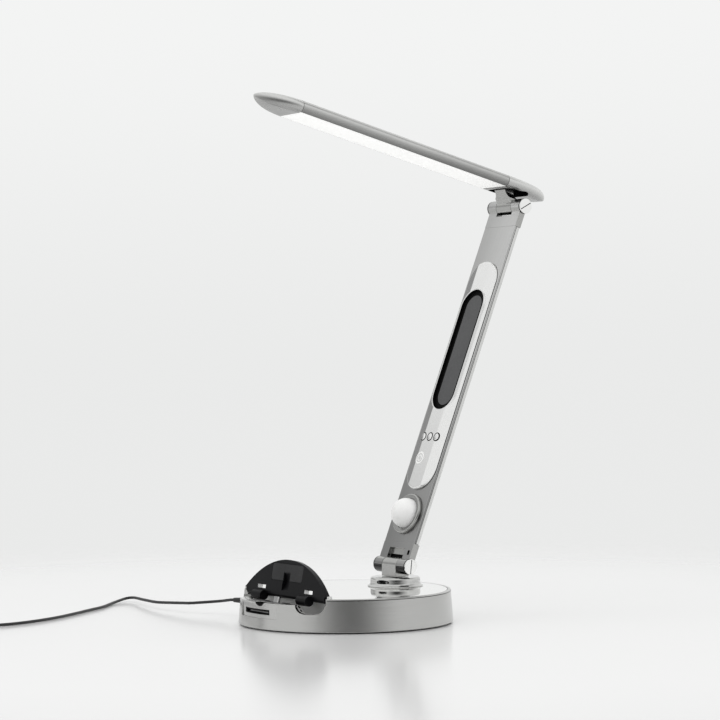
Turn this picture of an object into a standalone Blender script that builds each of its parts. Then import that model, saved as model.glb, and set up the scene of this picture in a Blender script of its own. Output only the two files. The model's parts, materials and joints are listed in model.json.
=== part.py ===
"""LED desk lamp with a folding arm, a folding rest in its round base and its low-voltage lead.

Metres, +Z up. The origin is the middle of the anti-slip pad's underside, the front is -Y.
"""
import bpy
import bmesh
import math
from mathutils import Matrix, Vector

# Clearances shared by all pieces
GAP = 0.0003
RUN = 0.0005
OVERRUN = 0.004
WELD = 0.00001

# Round base
BASE_RADIUS_LOW = 0.0905
BASE_TAPER = 0.0019
BASE_HEIGHT = 0.0280
BASE_LIFT = 0.0010
BASE_WALL = 0.0026
BASE_EDGE = 0.0006
RIM_WIDTH = 0.0026
PLATE_THICKNESS = 0.0018
LEDGE_WIDTH = 0.0030
LEDGE_THICKNESS = 0.0020
PAD_INSET = 0.0045
PAD_THICKNESS = 0.0015
FLOOR_THICKNESS = 0.0018
ROUND_STEPS = 60

# Dock at the front of the base: lip, trench and finger scoops
LIP_DROP = 0.0052
DOCK_WALL = 0.0040
DOCK_SIDE_STEP = 0.0026
BLOCK_REACH = 0.0118
BLOCK_LIFT = 0.0007
TRENCH_REACH = 0.0090
TRENCH_INSET = 0.0070
TRENCH_SIDE = 0.0105
TRAY_WALL = 0.0015
TRAY_LIFT = 0.0011
BARREL_LIFT = 0.0011
RIB_SPACING = 0.0025
BEARING_WALL = 0.0010
RIB_THICKNESS = 0.0030
RIB_REACH = 0.0035
RIB_RISE = 0.0032
SCOOP_MARGIN = 0.0004
SCOOP_HALF_SHARE = 0.1501
SCOOP_DEPTH = 0.0126
SCOOP_LENGTH = 0.0166
NOTCH_RADIUS = 0.0079
NOTCH_DEPTH = 0.0030
NOTCH_X = 0.0060
NOTCH_LENGTH = 0.0110

# Rest: a flap that closes flush over the dock
FLAP_SPACING = 0.0016
FLAP_AXIS_DROP = 0.0020
FLAP_THICKNESS = 0.0048
FLAP_LEAN = 11.0
FLAP_SIDE = 0.00525
FLAP_WING = 0.0017
FLAP_SHOULDER = 0.0023
FLAP_PIN_SEAT = 0.0030
LUG_RADIUS = 0.0042
LUG_INNER_X = 0.0280
LUG_OUTER_X = 0.0430
LUG_Y = 0.0021
LUG_Z = -0.0047
WINDOW_INNER_X = 0.0305
WINDOW_OUTER_X = 0.0428
WINDOW_LOW = 0.0037
WINDOW_HIGH = 0.0067
HINGE_PIN_RADIUS = 0.00085
REST_PAD_HALF = 0.0240
REST_PAD_LOW = 0.0120
REST_PAD_HIGH = 0.0260
REST_PAD_THICKNESS = 0.0008
REST_PAD_CORNER = 0.0024

# Turning barrel with three dock plugs
DOCK_STACK = 0.0084
BARREL_LEAN = 15.7
GRIP_RISE = 0.0006
GRIP_INNER_X = 0.0120
GRIP_OUTER_X = 0.0200
AXLE_RADIUS = 0.0020
PLUG_REACH = 0.0046
PLUG_ROOT = 0.0026
REVERSIBLE_WIDTH = 0.0083
REVERSIBLE_THICKNESS = 0.0025
SLIM_WIDTH = 0.0067
SLIM_THICKNESS = 0.0015
MICRO_WIDTH = 0.0068
MICRO_THICKNESS = 0.0019

# Socket slot in the front of the base
SLOT_HALF = 0.0186
SLOT_HEIGHT = 0.0043
SLOT_DROP = 0.0054
SLOT_DEPTH = 0.0070
SLOT_WALL = 0.0007
SLOT_INSET = 0.0026
TONGUE_HALF = 0.0140
TONGUE_SHIFT = 0.0030
TONGUE_THICKNESS = 0.0010
FRAME_HALF = 0.0272
FRAME_HEIGHT = 0.0114
FRAME_DROP = 0.0014
FRAME_DEPTH = 0.0007

# Lead socket and plug on the left of the base
JACK_SPACING = 0.0116
JACK_Z = 0.0137
JACK_WIDTH = 0.0092
JACK_DEPTH = 0.0110
JACK_BORE = 0.0029
JACK_BORE_DEPTH = 0.0085
PLUG_HOLE = 0.0040
LEAD_PLUG_PIN = 0.0026
LEAD_PLUG_PIN_LENGTH = 0.0098
LEAD_PLUG_RADIUS = 0.0043
LEAD_PLUG_LENGTH = 0.0125
LEAD_BOOT_RADIUS = 0.0026
LEAD_BOOT_LENGTH = 0.0110
LEAD_BOOT_TIP = 0.0020
PLUG_STANDOFF = 0.0010

# Inside the base
BALLAST_INSET = 0.0465
BALLAST_Y = 0.0120
BALLAST_HEIGHT = 0.0090
BOARD_THICKNESS = 0.0016
MAIN_BOARD_INSET = 0.0325
MAIN_BOARD_Y = 0.0160
MAIN_BOARD_WIDTH = 0.0240
MAIN_BOARD_LENGTH = 0.0500
POST_RADIUS = 0.0022
POST_HEIGHT = 0.0044
SCREW_INSET = 0.0125
SCREW_SPACING = 0.0195
SCREW_HEAD_RADIUS = 0.0030
SCREW_HEAD_HEIGHT = 0.0010
SCREW_RADIUS = 0.0014
SCREW_LENGTH = 0.0080
BOSS_RADIUS = 0.0036

# Swivel collar behind the middle of the base
SWIVEL_INSET = 0.0398
COLLAR_RADIUS_TOP = 0.0208
COLLAR_RADIUS_LOW = 0.0239
COLLAR_HEIGHT = 0.0077
COLLAR_FLANGE = 0.0007
SHAFT_RADIUS = 0.0078
SHAFT_LENGTH = 0.0105
BUSH_WALL = 0.0018
BUSH_FLANGE = 0.0040
BUSH_FLANGE_THICKNESS = 0.0018
BUSH_DEPTH = 0.0052
NUT_RADIUS = 0.0120
NUT_THICKNESS = 0.0034
NUT_SIDES = 6

# Both friction hinges
KNUCKLE_RADIUS = 0.0068
KNUCKLE_WIDTH = 0.0210
HINGE_HALF = 0.0222
PIN_RADIUS = 0.0028
CAP_THICKNESS = 0.0016
CAP_SLOT_WIDTH = 0.0008
CAP_SLOT_DEPTH = 0.0007
CAP_NECK = 0.0010
LOWER_AXIS_RISE = 0.0094
FORK_LENGTH = 0.0200
FORK_SLOT_REACH = 0.0098
FORK_STEP_REACH = 0.0150
FORK_STEP_DEPTH = 0.0028
FORK_TONGUE = 0.0120
NICHE_X = 0.0180
NICHE_WIDTH = 0.0030
NICHE_LOW = 0.0095
NICHE_HIGH = 0.0135
NICHE_DEPTH = 0.0010

# Arm
ARM_LENGTH = 0.3343
ARM_LEAN = 22.1
ARM_WIDTH = 0.0450
ARM_FRONT = 0.0032
ARM_BACK = 0.0028
ARM_CORNER = 0.0022
ARM_WALL = 0.0012
COVER_THICKNESS = 0.0016
ARM_BOARD_WIDTH = 0.0340
ARM_BOARD_THICKNESS = 0.0010
ARM_BOARD_LOW = 0.0500
ARM_BOARD_TOP_SHARE = 0.8077

# Display pod on the arm's front
POD_LOW = 0.0675
POD_TOP_SHARE = 0.83907
POD_RADIUS = 0.0205
POD_HEIGHT = 0.0028
POD_WALL = 0.0012
POD_EDGE = 0.0007
WINDOW_BOTTOM = 0.1409
WINDOW_TOP_SHARE = 0.7568
WINDOW_RADIUS = 0.0152
GLASS_THICKNESS = 0.0010
GLASS_INSET = 0.0002
PANEL_THICKNESS = 0.0009
PANEL_MARGIN = 0.0012
BUTTON_S = 0.1153
BUTTON_PITCH = 0.0096
BUTTON_RADIUS = 0.0036
BUTTON_RISE = 0.0008
BUTTON_FLANGE = 0.0008
BUTTON_FLANGE_THICKNESS = 0.0006
TOUCH_S = 0.0958
TOUCH_X = -0.0050
TOUCH_RADIUS = 0.0056
TOUCH_THICKNESS = 0.0007

# Night light and motion sensor under the pod
SENSOR_S = 0.0453
SENSOR_RADIUS = 0.0180
SENSOR_BORE = 0.0135
SENSOR_RING_HEIGHT = 0.0028
SENSOR_RING_EDGE = 0.0010
DOME_RADIUS = 0.0130
DOME_HEIGHT = 0.0120
DOME_WALL = 0.0012
DOME_STEPS = 6
PROBE_RADIUS = 0.0045
PROBE_HEIGHT = 0.0050

# Lamp head
HEAD_TILT = 14.3
HEAD_LENGTH = 0.3110
HEAD_WIDTH = 0.0410
HEAD_HEIGHT = 0.0110
HEAD_HINGE_INSET = 0.0352
HEAD_HINGE_DROP = 0.0177
FRONT_CAP_LENGTH = 0.0373
REAR_CAP_LENGTH = 0.0553
FRONT_NOSE_LENGTH = 0.0240
REAR_NOSE_LENGTH = 0.0200
HEAD_WALL = 0.0016
HEAD_LIP = 0.0034
DIFFUSER_THICKNESS = 0.0015
DIFFUSER_INSET = 0.0005
LED_BOARD_THICKNESS = 0.0012
LED_BOARD_MARGIN = 0.0020
POCKET_HALF = 0.0170
POCKET_LOW_INSET = 0.0520
POCKET_HIGH_INSET = 0.0270
POCKET_DEPTH = 0.0085
NECK_HALF = 0.0075
NECK_THICKNESS = 0.0074
NECK_FORWARD = 0.0093
NECK_FLARE = 0.0050
NECK_TOP_THICKNESS = 0.0024
NECK_TOP_LENGTH = 0.0220

# Lead, its coil and the wall adapter
CORD_DIAMETER = 0.0026
CORD_FLOOR = 0.0001
CORD_SPACING = 0.0078
LEAD_ROUTE = (
    (-0.1270, -0.0510, 0.0110), (-0.1455, -0.0660, 0.0090), (-0.1576, -0.0686, 0.0082),
    (-0.1880, -0.0728, 0.0065), (-0.2035, -0.0724, 0.0058), (-0.2360, -0.0667, 0.0050),
    (-0.2660, -0.0600, 0.0040), (-0.2730, -0.0647, 0.0030), (-0.2590, -0.0840, 0.0016),
    (-0.2320, -0.1096, 0.0014), (-0.2160, -0.1300, 0.0014), (-0.1790, -0.1785, 0.0014),
    (-0.1590, -0.2170, 0.0014), (-0.1530, -0.2470, 0.0014), (-0.1620, -0.2700, 0.0018),
)
TAIL_ROUTE = ((-0.1950, -0.3250, 0.0105), (-0.2080, -0.3300, 0.0090))
COIL_X = -0.2060
COIL_Y = -0.3010
COIL_INNER_RADIUS = 0.0108
COIL_PITCH = 0.0032
COIL_LAYERS = 4
COIL_TURNS_PER_LAYER = 2.75
COIL_POINTS = 24
COIL_START_ANGLE = -28.0
COIL_NUDGE_SHARE = 0.01
TIE_WIDTH = 0.0060
TIE_THICKNESS = 0.0010
TIE_ANGLE = 120.0
ADAPTER_LENGTH = 0.0560
ADAPTER_WIDTH = 0.0360
ADAPTER_HEIGHT = 0.0260
ADAPTER_EDGE = 0.0030
ADAPTER_X = -0.2580
ADAPTER_Y = -0.3460
ADAPTER_TURN = 28.0
BLADE_LENGTH = 0.0170
BLADE_WIDTH = 0.0063
BLADE_THICKNESS = 0.0015
BLADE_SPACING = 0.0127
BLADE_SEAT = 0.0030
ADAPTER_EXIT_Z = 0.0080
ADAPTER_BOOT_LENGTH = 0.0080
ADAPTER_BOOT_RADIUS = 0.0030



def half_chord(radius, distance):
    """Half the width of a circle at a distance from its middle."""
    return math.sqrt(radius ** 2 - distance ** 2)


# Sizes that follow from the ones above
base_radius_top = BASE_RADIUS_LOW - BASE_TAPER
pad_radius = BASE_RADIUS_LOW - PAD_INSET
screw_circle = BASE_RADIUS_LOW - SCREW_INSET
swivel_y = BASE_RADIUS_LOW - SWIVEL_INSET
ballast_radius = BASE_RADIUS_LOW - BALLAST_INSET
main_board_x = MAIN_BOARD_INSET - BASE_RADIUS_LOW
frame_half_angle = math.degrees(math.asin(FRAME_HALF / BASE_RADIUS_LOW))
swing_radius = (BASE_HEIGHT - DOCK_STACK) / 2
trench_front_y = TRENCH_INSET - base_radius_top
barrel_y = trench_front_y + TRAY_WALL + GAP + swing_radius
flap_axis_y = barrel_y + swing_radius + FLAP_SPACING
flap_half_length = half_chord(base_radius_top, flap_axis_y) - FLAP_SIDE
flap_pin_half = flap_half_length + FLAP_PIN_SEAT
block_back_y = flap_axis_y + BLOCK_REACH
trench_back_y = flap_axis_y + TRENCH_REACH
trench_radius = base_radius_top - DOCK_WALL
trench_half = half_chord(trench_radius, trench_back_y) - TRENCH_SIDE
dock_angle = math.degrees(math.acos((DOCK_SIDE_STEP - flap_axis_y) / base_radius_top))
scoop_half_width = base_radius_top * SCOOP_HALF_SHARE
scoop_angle = dock_angle - math.degrees(math.asin((scoop_half_width + SCOOP_MARGIN) / base_radius_top))
scoop_inner_radius = base_radius_top - SCOOP_LENGTH
barrel_radius = swing_radius - PLUG_REACH
grip_radius = barrel_radius + GRIP_RISE
tray_radius = trench_radius - TRAY_WALL - GAP
rib_inner_x = half_chord(tray_radius, barrel_y - AXLE_RADIUS - BEARING_WALL) - RIB_THICKNESS
barrel_half = min(rib_inner_x - RIB_SPACING, half_chord(tray_radius, barrel_y - barrel_radius - GAP) - RUN)
block_angle = math.degrees(math.acos(-block_back_y / (base_radius_top - GAP)))
jack_angle = -block_angle - math.degrees(math.asin(JACK_SPACING / base_radius_top))
left_screw_angle = jack_angle - math.degrees(math.asin(SCREW_SPACING / screw_circle))
screw_angles = (-left_screw_angle, 180, left_screw_angle)
rib_back_y = barrel_y + RIB_REACH
plug_sizes = {
    "plug_reversible": (REVERSIBLE_WIDTH, REVERSIBLE_THICKNESS),
    "plug_slim": (SLIM_WIDTH, SLIM_THICKNESS),
    "plug_micro": (MICRO_WIDTH, MICRO_THICKNESS),
}
arm_board_high = ARM_LENGTH * ARM_BOARD_TOP_SHARE
pod_high = ARM_LENGTH * POD_TOP_SHARE
window_top = ARM_LENGTH * WINDOW_TOP_SHARE
head_hinge_t = HEAD_LENGTH - HEAD_HINGE_INSET
rear_cap_start = HEAD_LENGTH - REAR_CAP_LENGTH
pocket_start = HEAD_LENGTH - POCKET_LOW_INSET
pocket_end = HEAD_LENGTH - POCKET_HIGH_INSET
base_middle = (base_radius_top + BASE_RADIUS_LOW) / 2
lip_z = BASE_HEIGHT - LIP_DROP
ledge_z = BASE_HEIGHT - PLATE_THICKNESS - GAP
floor_z = PAD_THICKNESS + GAP
floor_top_z = floor_z + FLOOR_THICKNESS
tray_low_z = floor_top_z + TRAY_LIFT
barrel_z = tray_low_z + TRAY_WALL + GAP + swing_radius
rib_top_z = barrel_z + RIB_RISE
tray_floor_z = barrel_z - barrel_radius - BARREL_LIFT
slot_high_z = lip_z - SLOT_DROP
slot_low_z = slot_high_z - SLOT_HEIGHT
frame_high_z = lip_z - FRAME_DROP
frame_low_z = frame_high_z - FRAME_HEIGHT
inner_radius = base_radius_top - BASE_WALL
flap_axis_z = BASE_HEIGHT - FLAP_AXIS_DROP
flap_radius = base_radius_top - GAP
dock_edge_y = flap_axis_y + FLAP_AXIS_DROP + RUN
flap_low = FLAP_AXIS_DROP - FLAP_THICKNESS
collar_top = BASE_HEIGHT + GAP + COLLAR_HEIGHT
lower_axis_z = collar_top + LOWER_AXIS_RISE
knuckle_half = KNUCKLE_WIDTH / 2
fork_inner = knuckle_half + GAP
pod_base = ARM_FRONT + GAP
pod_face = pod_base + POD_HEIGHT
head_half = HEAD_WIDTH / 2
head_bullnose = HEAD_HEIGHT / 2
cord_radius = CORD_DIAMETER / 2
cord_low = cord_radius + CORD_FLOOR
coil_low = cord_low + TIE_THICKNESS + GAP
coil_outer = COIL_INNER_RADIUS + COIL_PITCH * COIL_TURNS_PER_LAYER

parts = bpy.data.collections.new("led_desk_lamp")
cutters = bpy.data.collections.new("cutters")

FINISHES = {
    "satin_silver": ((0.52, 0.52, 0.51), 0.32, 1.0),
    "mirror_white": ((0.86, 0.86, 0.86), 0.06, 1.0),
    "chrome": ((0.78, 0.78, 0.78), 0.12, 1.0),
    "arm_grey": ((0.30, 0.30, 0.30), 0.38, 1.0),
    "pod_silver": ((0.62, 0.62, 0.62), 0.30, 1.0),
    "black_plastic": ((0.02, 0.02, 0.02), 0.35, 0.0),
    "black_rubber": ((0.015, 0.015, 0.015), 0.75, 0.0),
    "dark_glass": ((0.03, 0.03, 0.03), 0.08, 0.0),
    "lcd_grey": ((0.10, 0.11, 0.11), 0.30, 0.0),
    "milk_white": ((0.88, 0.88, 0.87), 0.40, 0.0),
    "iron": ((0.12, 0.12, 0.12), 0.60, 1.0),
    "board_green": ((0.02, 0.14, 0.05), 0.50, 0.0),
    "brass": ((0.60, 0.45, 0.18), 0.30, 1.0),
}


def finish(name):
    """One Principled material for each finish, made when it is first asked for."""
    found = bpy.data.materials.get(name)
    if found:
        return found
    colour, roughness, metallic = FINISHES[name]
    made = bpy.data.materials.new(name)
    made.use_nodes = True
    shader = made.node_tree.nodes["Principled BSDF"]
    shader.inputs["Base Color"].default_value = (*colour, 1.0)
    shader.inputs["Roughness"].default_value = roughness
    shader.inputs["Metallic"].default_value = metallic
    made.diffuse_color = (*colour, 1.0)
    return made


def frame_at(name, place, lean=0.0, parent=None):
    """An empty on a joint's axis, turned about X by lean degrees."""
    empty = bpy.data.objects.new(name, None)
    parts.objects.link(empty)
    empty.parent = parent
    empty.location = place
    empty.rotation_euler = (math.radians(lean), 0, 0)
    return empty


def place_mesh(name, mesh, finish_name=None, parent=None, place=(0, 0, 0), turn=(0, 0, 0)):
    """A mesh as a part, or as a hidden cutter where it has no finish."""
    obj = bpy.data.objects.new(name, mesh)
    obj.parent = parent
    obj.location = place
    obj.rotation_euler = [math.radians(angle) for angle in turn]
    if finish_name:
        parts.objects.link(obj)
        mesh.materials.clear()
        mesh.materials.append(finish(finish_name))
        mesh.shade_smooth()
        mesh.set_sharp_from_angle(angle=math.radians(32))
    else:
        cutters.objects.link(obj)
        obj.hide_render = True
        obj.display_type = "WIRE"
    return obj


def box_mesh(size, centre=(0, 0, 0)):
    mesh = bpy.data.meshes.new("box")
    shape = bmesh.new()
    bmesh.ops.create_cube(shape, size=1.0)
    bmesh.ops.scale(shape, vec=Vector(size), verts=shape.verts)
    bmesh.ops.translate(shape, vec=Vector(centre), verts=shape.verts)
    shape.to_mesh(mesh)
    shape.free()
    return mesh


def rod_mesh(radius, length, axis="Z", steps=24, centre=(0, 0, 0), radius_far=None):
    """A cylinder or cone whose middle is at centre, along the axis named."""
    mesh = bpy.data.meshes.new("rod")
    shape = bmesh.new()
    far = radius if radius_far is None else radius_far
    bmesh.ops.create_cone(shape, cap_ends=True, segments=steps, radius1=radius, radius2=far, depth=length)
    if axis == "X":
        bmesh.ops.rotate(shape, cent=(0, 0, 0), matrix=Matrix.Rotation(math.pi / 2, 3, "Y"), verts=shape.verts)
    if axis == "Y":
        bmesh.ops.rotate(shape, cent=(0, 0, 0), matrix=Matrix.Rotation(-math.pi / 2, 3, "X"), verts=shape.verts)
    bmesh.ops.translate(shape, vec=Vector(centre), verts=shape.verts)
    shape.to_mesh(mesh)
    shape.free()
    return mesh


def turned_mesh(profile, steps=32, closed=False, axis="Z"):
    """A profile of (radius, height) points, run down its outer side, turned once round by a Screw modifier."""
    mesh = bpy.data.meshes.new("profile")
    count = len(profile)
    edges = [(i, i + 1) for i in range(count - 1)] + ([(count - 1, 0)] if closed else [])
    mesh.from_pydata([(radius, 0, height) for radius, height in profile], edges, [])
    obj = bpy.data.objects.new("profile", mesh)
    bpy.context.scene.collection.objects.link(obj)
    screw = obj.modifiers.new("turn", "SCREW")
    screw.steps = screw.render_steps = steps
    screw.use_merge_vertices = True
    screw.merge_threshold = WELD
    made = evaluated_mesh(obj)
    if axis == "X":
        made.transform(Matrix.Rotation(math.pi / 2, 4, "Y"))
    if axis == "Y":
        made.transform(Matrix.Rotation(-math.pi / 2, 4, "X"))
    if axis == "-Y":
        made.transform(Matrix.Rotation(math.pi / 2, 4, "X"))
    return made


def evaluated_mesh(obj):
    """The object's finished mesh with its loose caps joined; the object itself is removed."""
    bpy.context.view_layer.update()
    graph = bpy.context.evaluated_depsgraph_get()
    mesh = bpy.data.meshes.new_from_object(obj.evaluated_get(graph))
    shape = bmesh.new()
    shape.from_mesh(mesh)
    bmesh.ops.remove_doubles(shape, verts=shape.verts, dist=WELD)
    bmesh.ops.recalc_face_normals(shape, faces=shape.faces)
    shape.to_mesh(mesh)
    shape.free()
    bpy.data.objects.remove(obj, do_unlink=True)
    return mesh


def sheet_mesh(outlines, thickness, axis="Z", shift=(0, 0, 0)):
    """Flat outlines filled and given a thickness. Points are (x, y) for Z, (y, z) for X and (x, z) for Y."""
    curve = bpy.data.curves.new("outline", "CURVE")
    curve.dimensions = "2D"
    curve.fill_mode = "BOTH"
    curve.extrude = thickness / 2
    for outline in outlines:
        spline = curve.splines.new("POLY")
        spline.points.add(len(outline) - 1)
        for point, (across, along) in zip(spline.points, outline):
            point.co = (across, along, 0, 1)
        spline.use_cyclic_u = True
    obj = bpy.data.objects.new("outline", curve)
    bpy.context.scene.collection.objects.link(obj)
    made = evaluated_mesh(obj)
    shape = bmesh.new()
    shape.from_mesh(made)
    bmesh.ops.dissolve_limit(shape, angle_limit=math.radians(0.2), verts=shape.verts, edges=shape.edges)
    shape.to_mesh(made)
    shape.free()
    if axis == "X":
        made.transform(Matrix(((0, 0, 1, 0), (1, 0, 0, 0), (0, 1, 0, 0), (0, 0, 0, 1))))
    if axis == "Y":
        made.transform(Matrix(((1, 0, 0, 0), (0, 0, -1, 0), (0, 1, 0, 0), (0, 0, 0, 1))))
    made.transform(Matrix.Translation(shift))
    return made


def tube_mesh(points, radius, sides_setting):
    """A round tube with filled ends along the points."""
    curve = bpy.data.curves.new("tube", "CURVE")
    curve.dimensions = "3D"
    curve.bevel_depth = radius
    curve.bevel_resolution = sides_setting
    curve.use_fill_caps = True
    spline = curve.splines.new("POLY")
    spline.points.add(len(points) - 1)
    for point, place in zip(spline.points, points):
        point.co = (*place, 1)
    obj = bpy.data.objects.new("tube", curve)
    bpy.context.scene.collection.objects.link(obj)
    return evaluated_mesh(obj)


def arc(centre, radius, start, end, steps):
    """Points on a circle from one angle to another, in degrees."""
    angles = [math.radians(start + (end - start) * i / steps) for i in range(steps + 1)]
    return [(centre[0] + radius * math.cos(a), centre[1] + radius * math.sin(a)) for a in angles]


def capsule(radius, low, high, steps=10):
    """An upright stadium outline between two heights."""
    top = arc((0, high - radius), radius, 0, 180, steps)
    bottom = arc((0, low + radius), radius, 180, 360, steps)
    return top + bottom


def rounded_box(width, height, corner, steps=3, centre=(0, 0)):
    """A rectangle outline with round corners."""
    across = width / 2 - corner
    up = height / 2 - corner
    points = []
    for x, y, start in ((across, up, 0), (-across, up, 90), (-across, -up, 180), (across, -up, 270)):
        points += arc((centre[0] + x, centre[1] + y), corner, start, start + 90, steps)
    return points


def cut(obj, cutter, operation="DIFFERENCE"):
    """Takes the cutter out of the piece, or joins it on."""
    boolean = obj.modifiers.new(cutter.name, "BOOLEAN")
    boolean.operation = operation
    boolean.object = cutter
    boolean.solver = "EXACT"
    return boolean


def soften(obj, width, steps=2, angle=40.0):
    """Rounds the piece's sharp edges."""
    bevel = obj.modifiers.new("round_edges", "BEVEL")
    bevel.width = width
    bevel.segments = steps
    bevel.limit_method = "ANGLE"
    bevel.angle_limit = math.radians(angle)
    return bevel


def around(angle, radius, height=0.0):
    """A point at an angle measured from the front towards the right, at a distance from the base's middle."""
    turn = math.radians(angle)
    return (radius * math.sin(turn), -radius * math.cos(turn), height)


def loft_mesh(rings):
    """One closed surface through rings of equally many points, its two end rings filled."""
    mesh = bpy.data.meshes.new("loft")
    shape = bmesh.new()
    rows = [[shape.verts.new(point) for point in ring] for ring in rings]
    for near, far in zip(rows, rows[1:]):
        for i in range(len(near)):
            j = (i + 1) % len(near)
            shape.faces.new((near[i], near[j], far[j], far[i]))
    shape.faces.new(list(reversed(rows[0])))
    shape.faces.new(rows[-1])
    bmesh.ops.recalc_face_normals(shape, faces=shape.faces)
    shape.to_mesh(mesh)
    shape.free()
    return mesh


for old in list(bpy.data.objects):
    bpy.data.objects.remove(old, do_unlink=True)
bpy.context.scene.collection.children.link(parts)
bpy.context.scene.collection.children.link(cutters)


def dock_opening():
    """The space of the closed flap, cut from the base down to the lip."""
    side = around(dock_angle, inner_radius - GAP)
    far = around(dock_angle, BASE_RADIUS_LOW + OVERRUN)
    ahead = -BASE_RADIUS_LOW - OVERRUN
    right = [(side[0], dock_edge_y), (side[0], side[1]), (far[0], far[1]), (far[0], ahead)]
    left = [(-x, y) for x, y in reversed(right)]
    height = BASE_HEIGHT - lip_z + OVERRUN
    mesh = sheet_mesh([left + right], height, "Z", (0, 0, lip_z + height / 2))
    return place_mesh("cut_dock", mesh)


def scoop_cutter(side):
    """A finger scoop: a trough with a round bottom, run in from the outside of the base."""
    shares = ((-1.0, 1.9), (-0.95, 0.43), (-0.8, 0.2), (-0.62, 0.07), (-0.34, 0.0))
    half = [(scoop_half_width * across, BASE_HEIGHT - SCOOP_DEPTH * (1 - up)) for across, up in shares]
    outline = half + [(-across, up) for across, up in reversed(half)]
    length = BASE_RADIUS_LOW + OVERRUN - scoop_inner_radius
    mesh = sheet_mesh([outline], length, "Y", (0, -scoop_inner_radius - length / 2, 0))
    return place_mesh("cut_scoop", mesh, turn=(0, 0, side * scoop_angle))


def trench_front(inset, start, end, steps):
    """Front edge of the trench between two places across it, set in from the wall."""
    across = [start + (end - start) * i / steps for i in range(steps + 1)]
    radius = trench_radius - inset
    return [(x, max(trench_front_y + inset, -half_chord(radius, x))) for x in across]


def trench_outline(inset, ribs=False):
    """The trench seen from above. With ribs, two bearing ribs stand out of its front edge."""
    half = trench_half - inset
    if ribs:
        outer = rib_inner_x + RIB_THICKNESS
        right_rib = [(rib_inner_x, rib_back_y), (outer, rib_back_y)]
        left_rib = [(-x, y) for x, y in reversed(right_rib)]
        front = trench_front(inset, -half, -outer, 4) + left_rib
        front += trench_front(inset, -rib_inner_x, rib_inner_x, 16) + right_rib
        front += trench_front(inset, outer, half, 4)
    else:
        front = trench_front(inset, -half, half, 24)
    back = trench_back_y - inset
    return front + [(half, back), (-half, back)]


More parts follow.
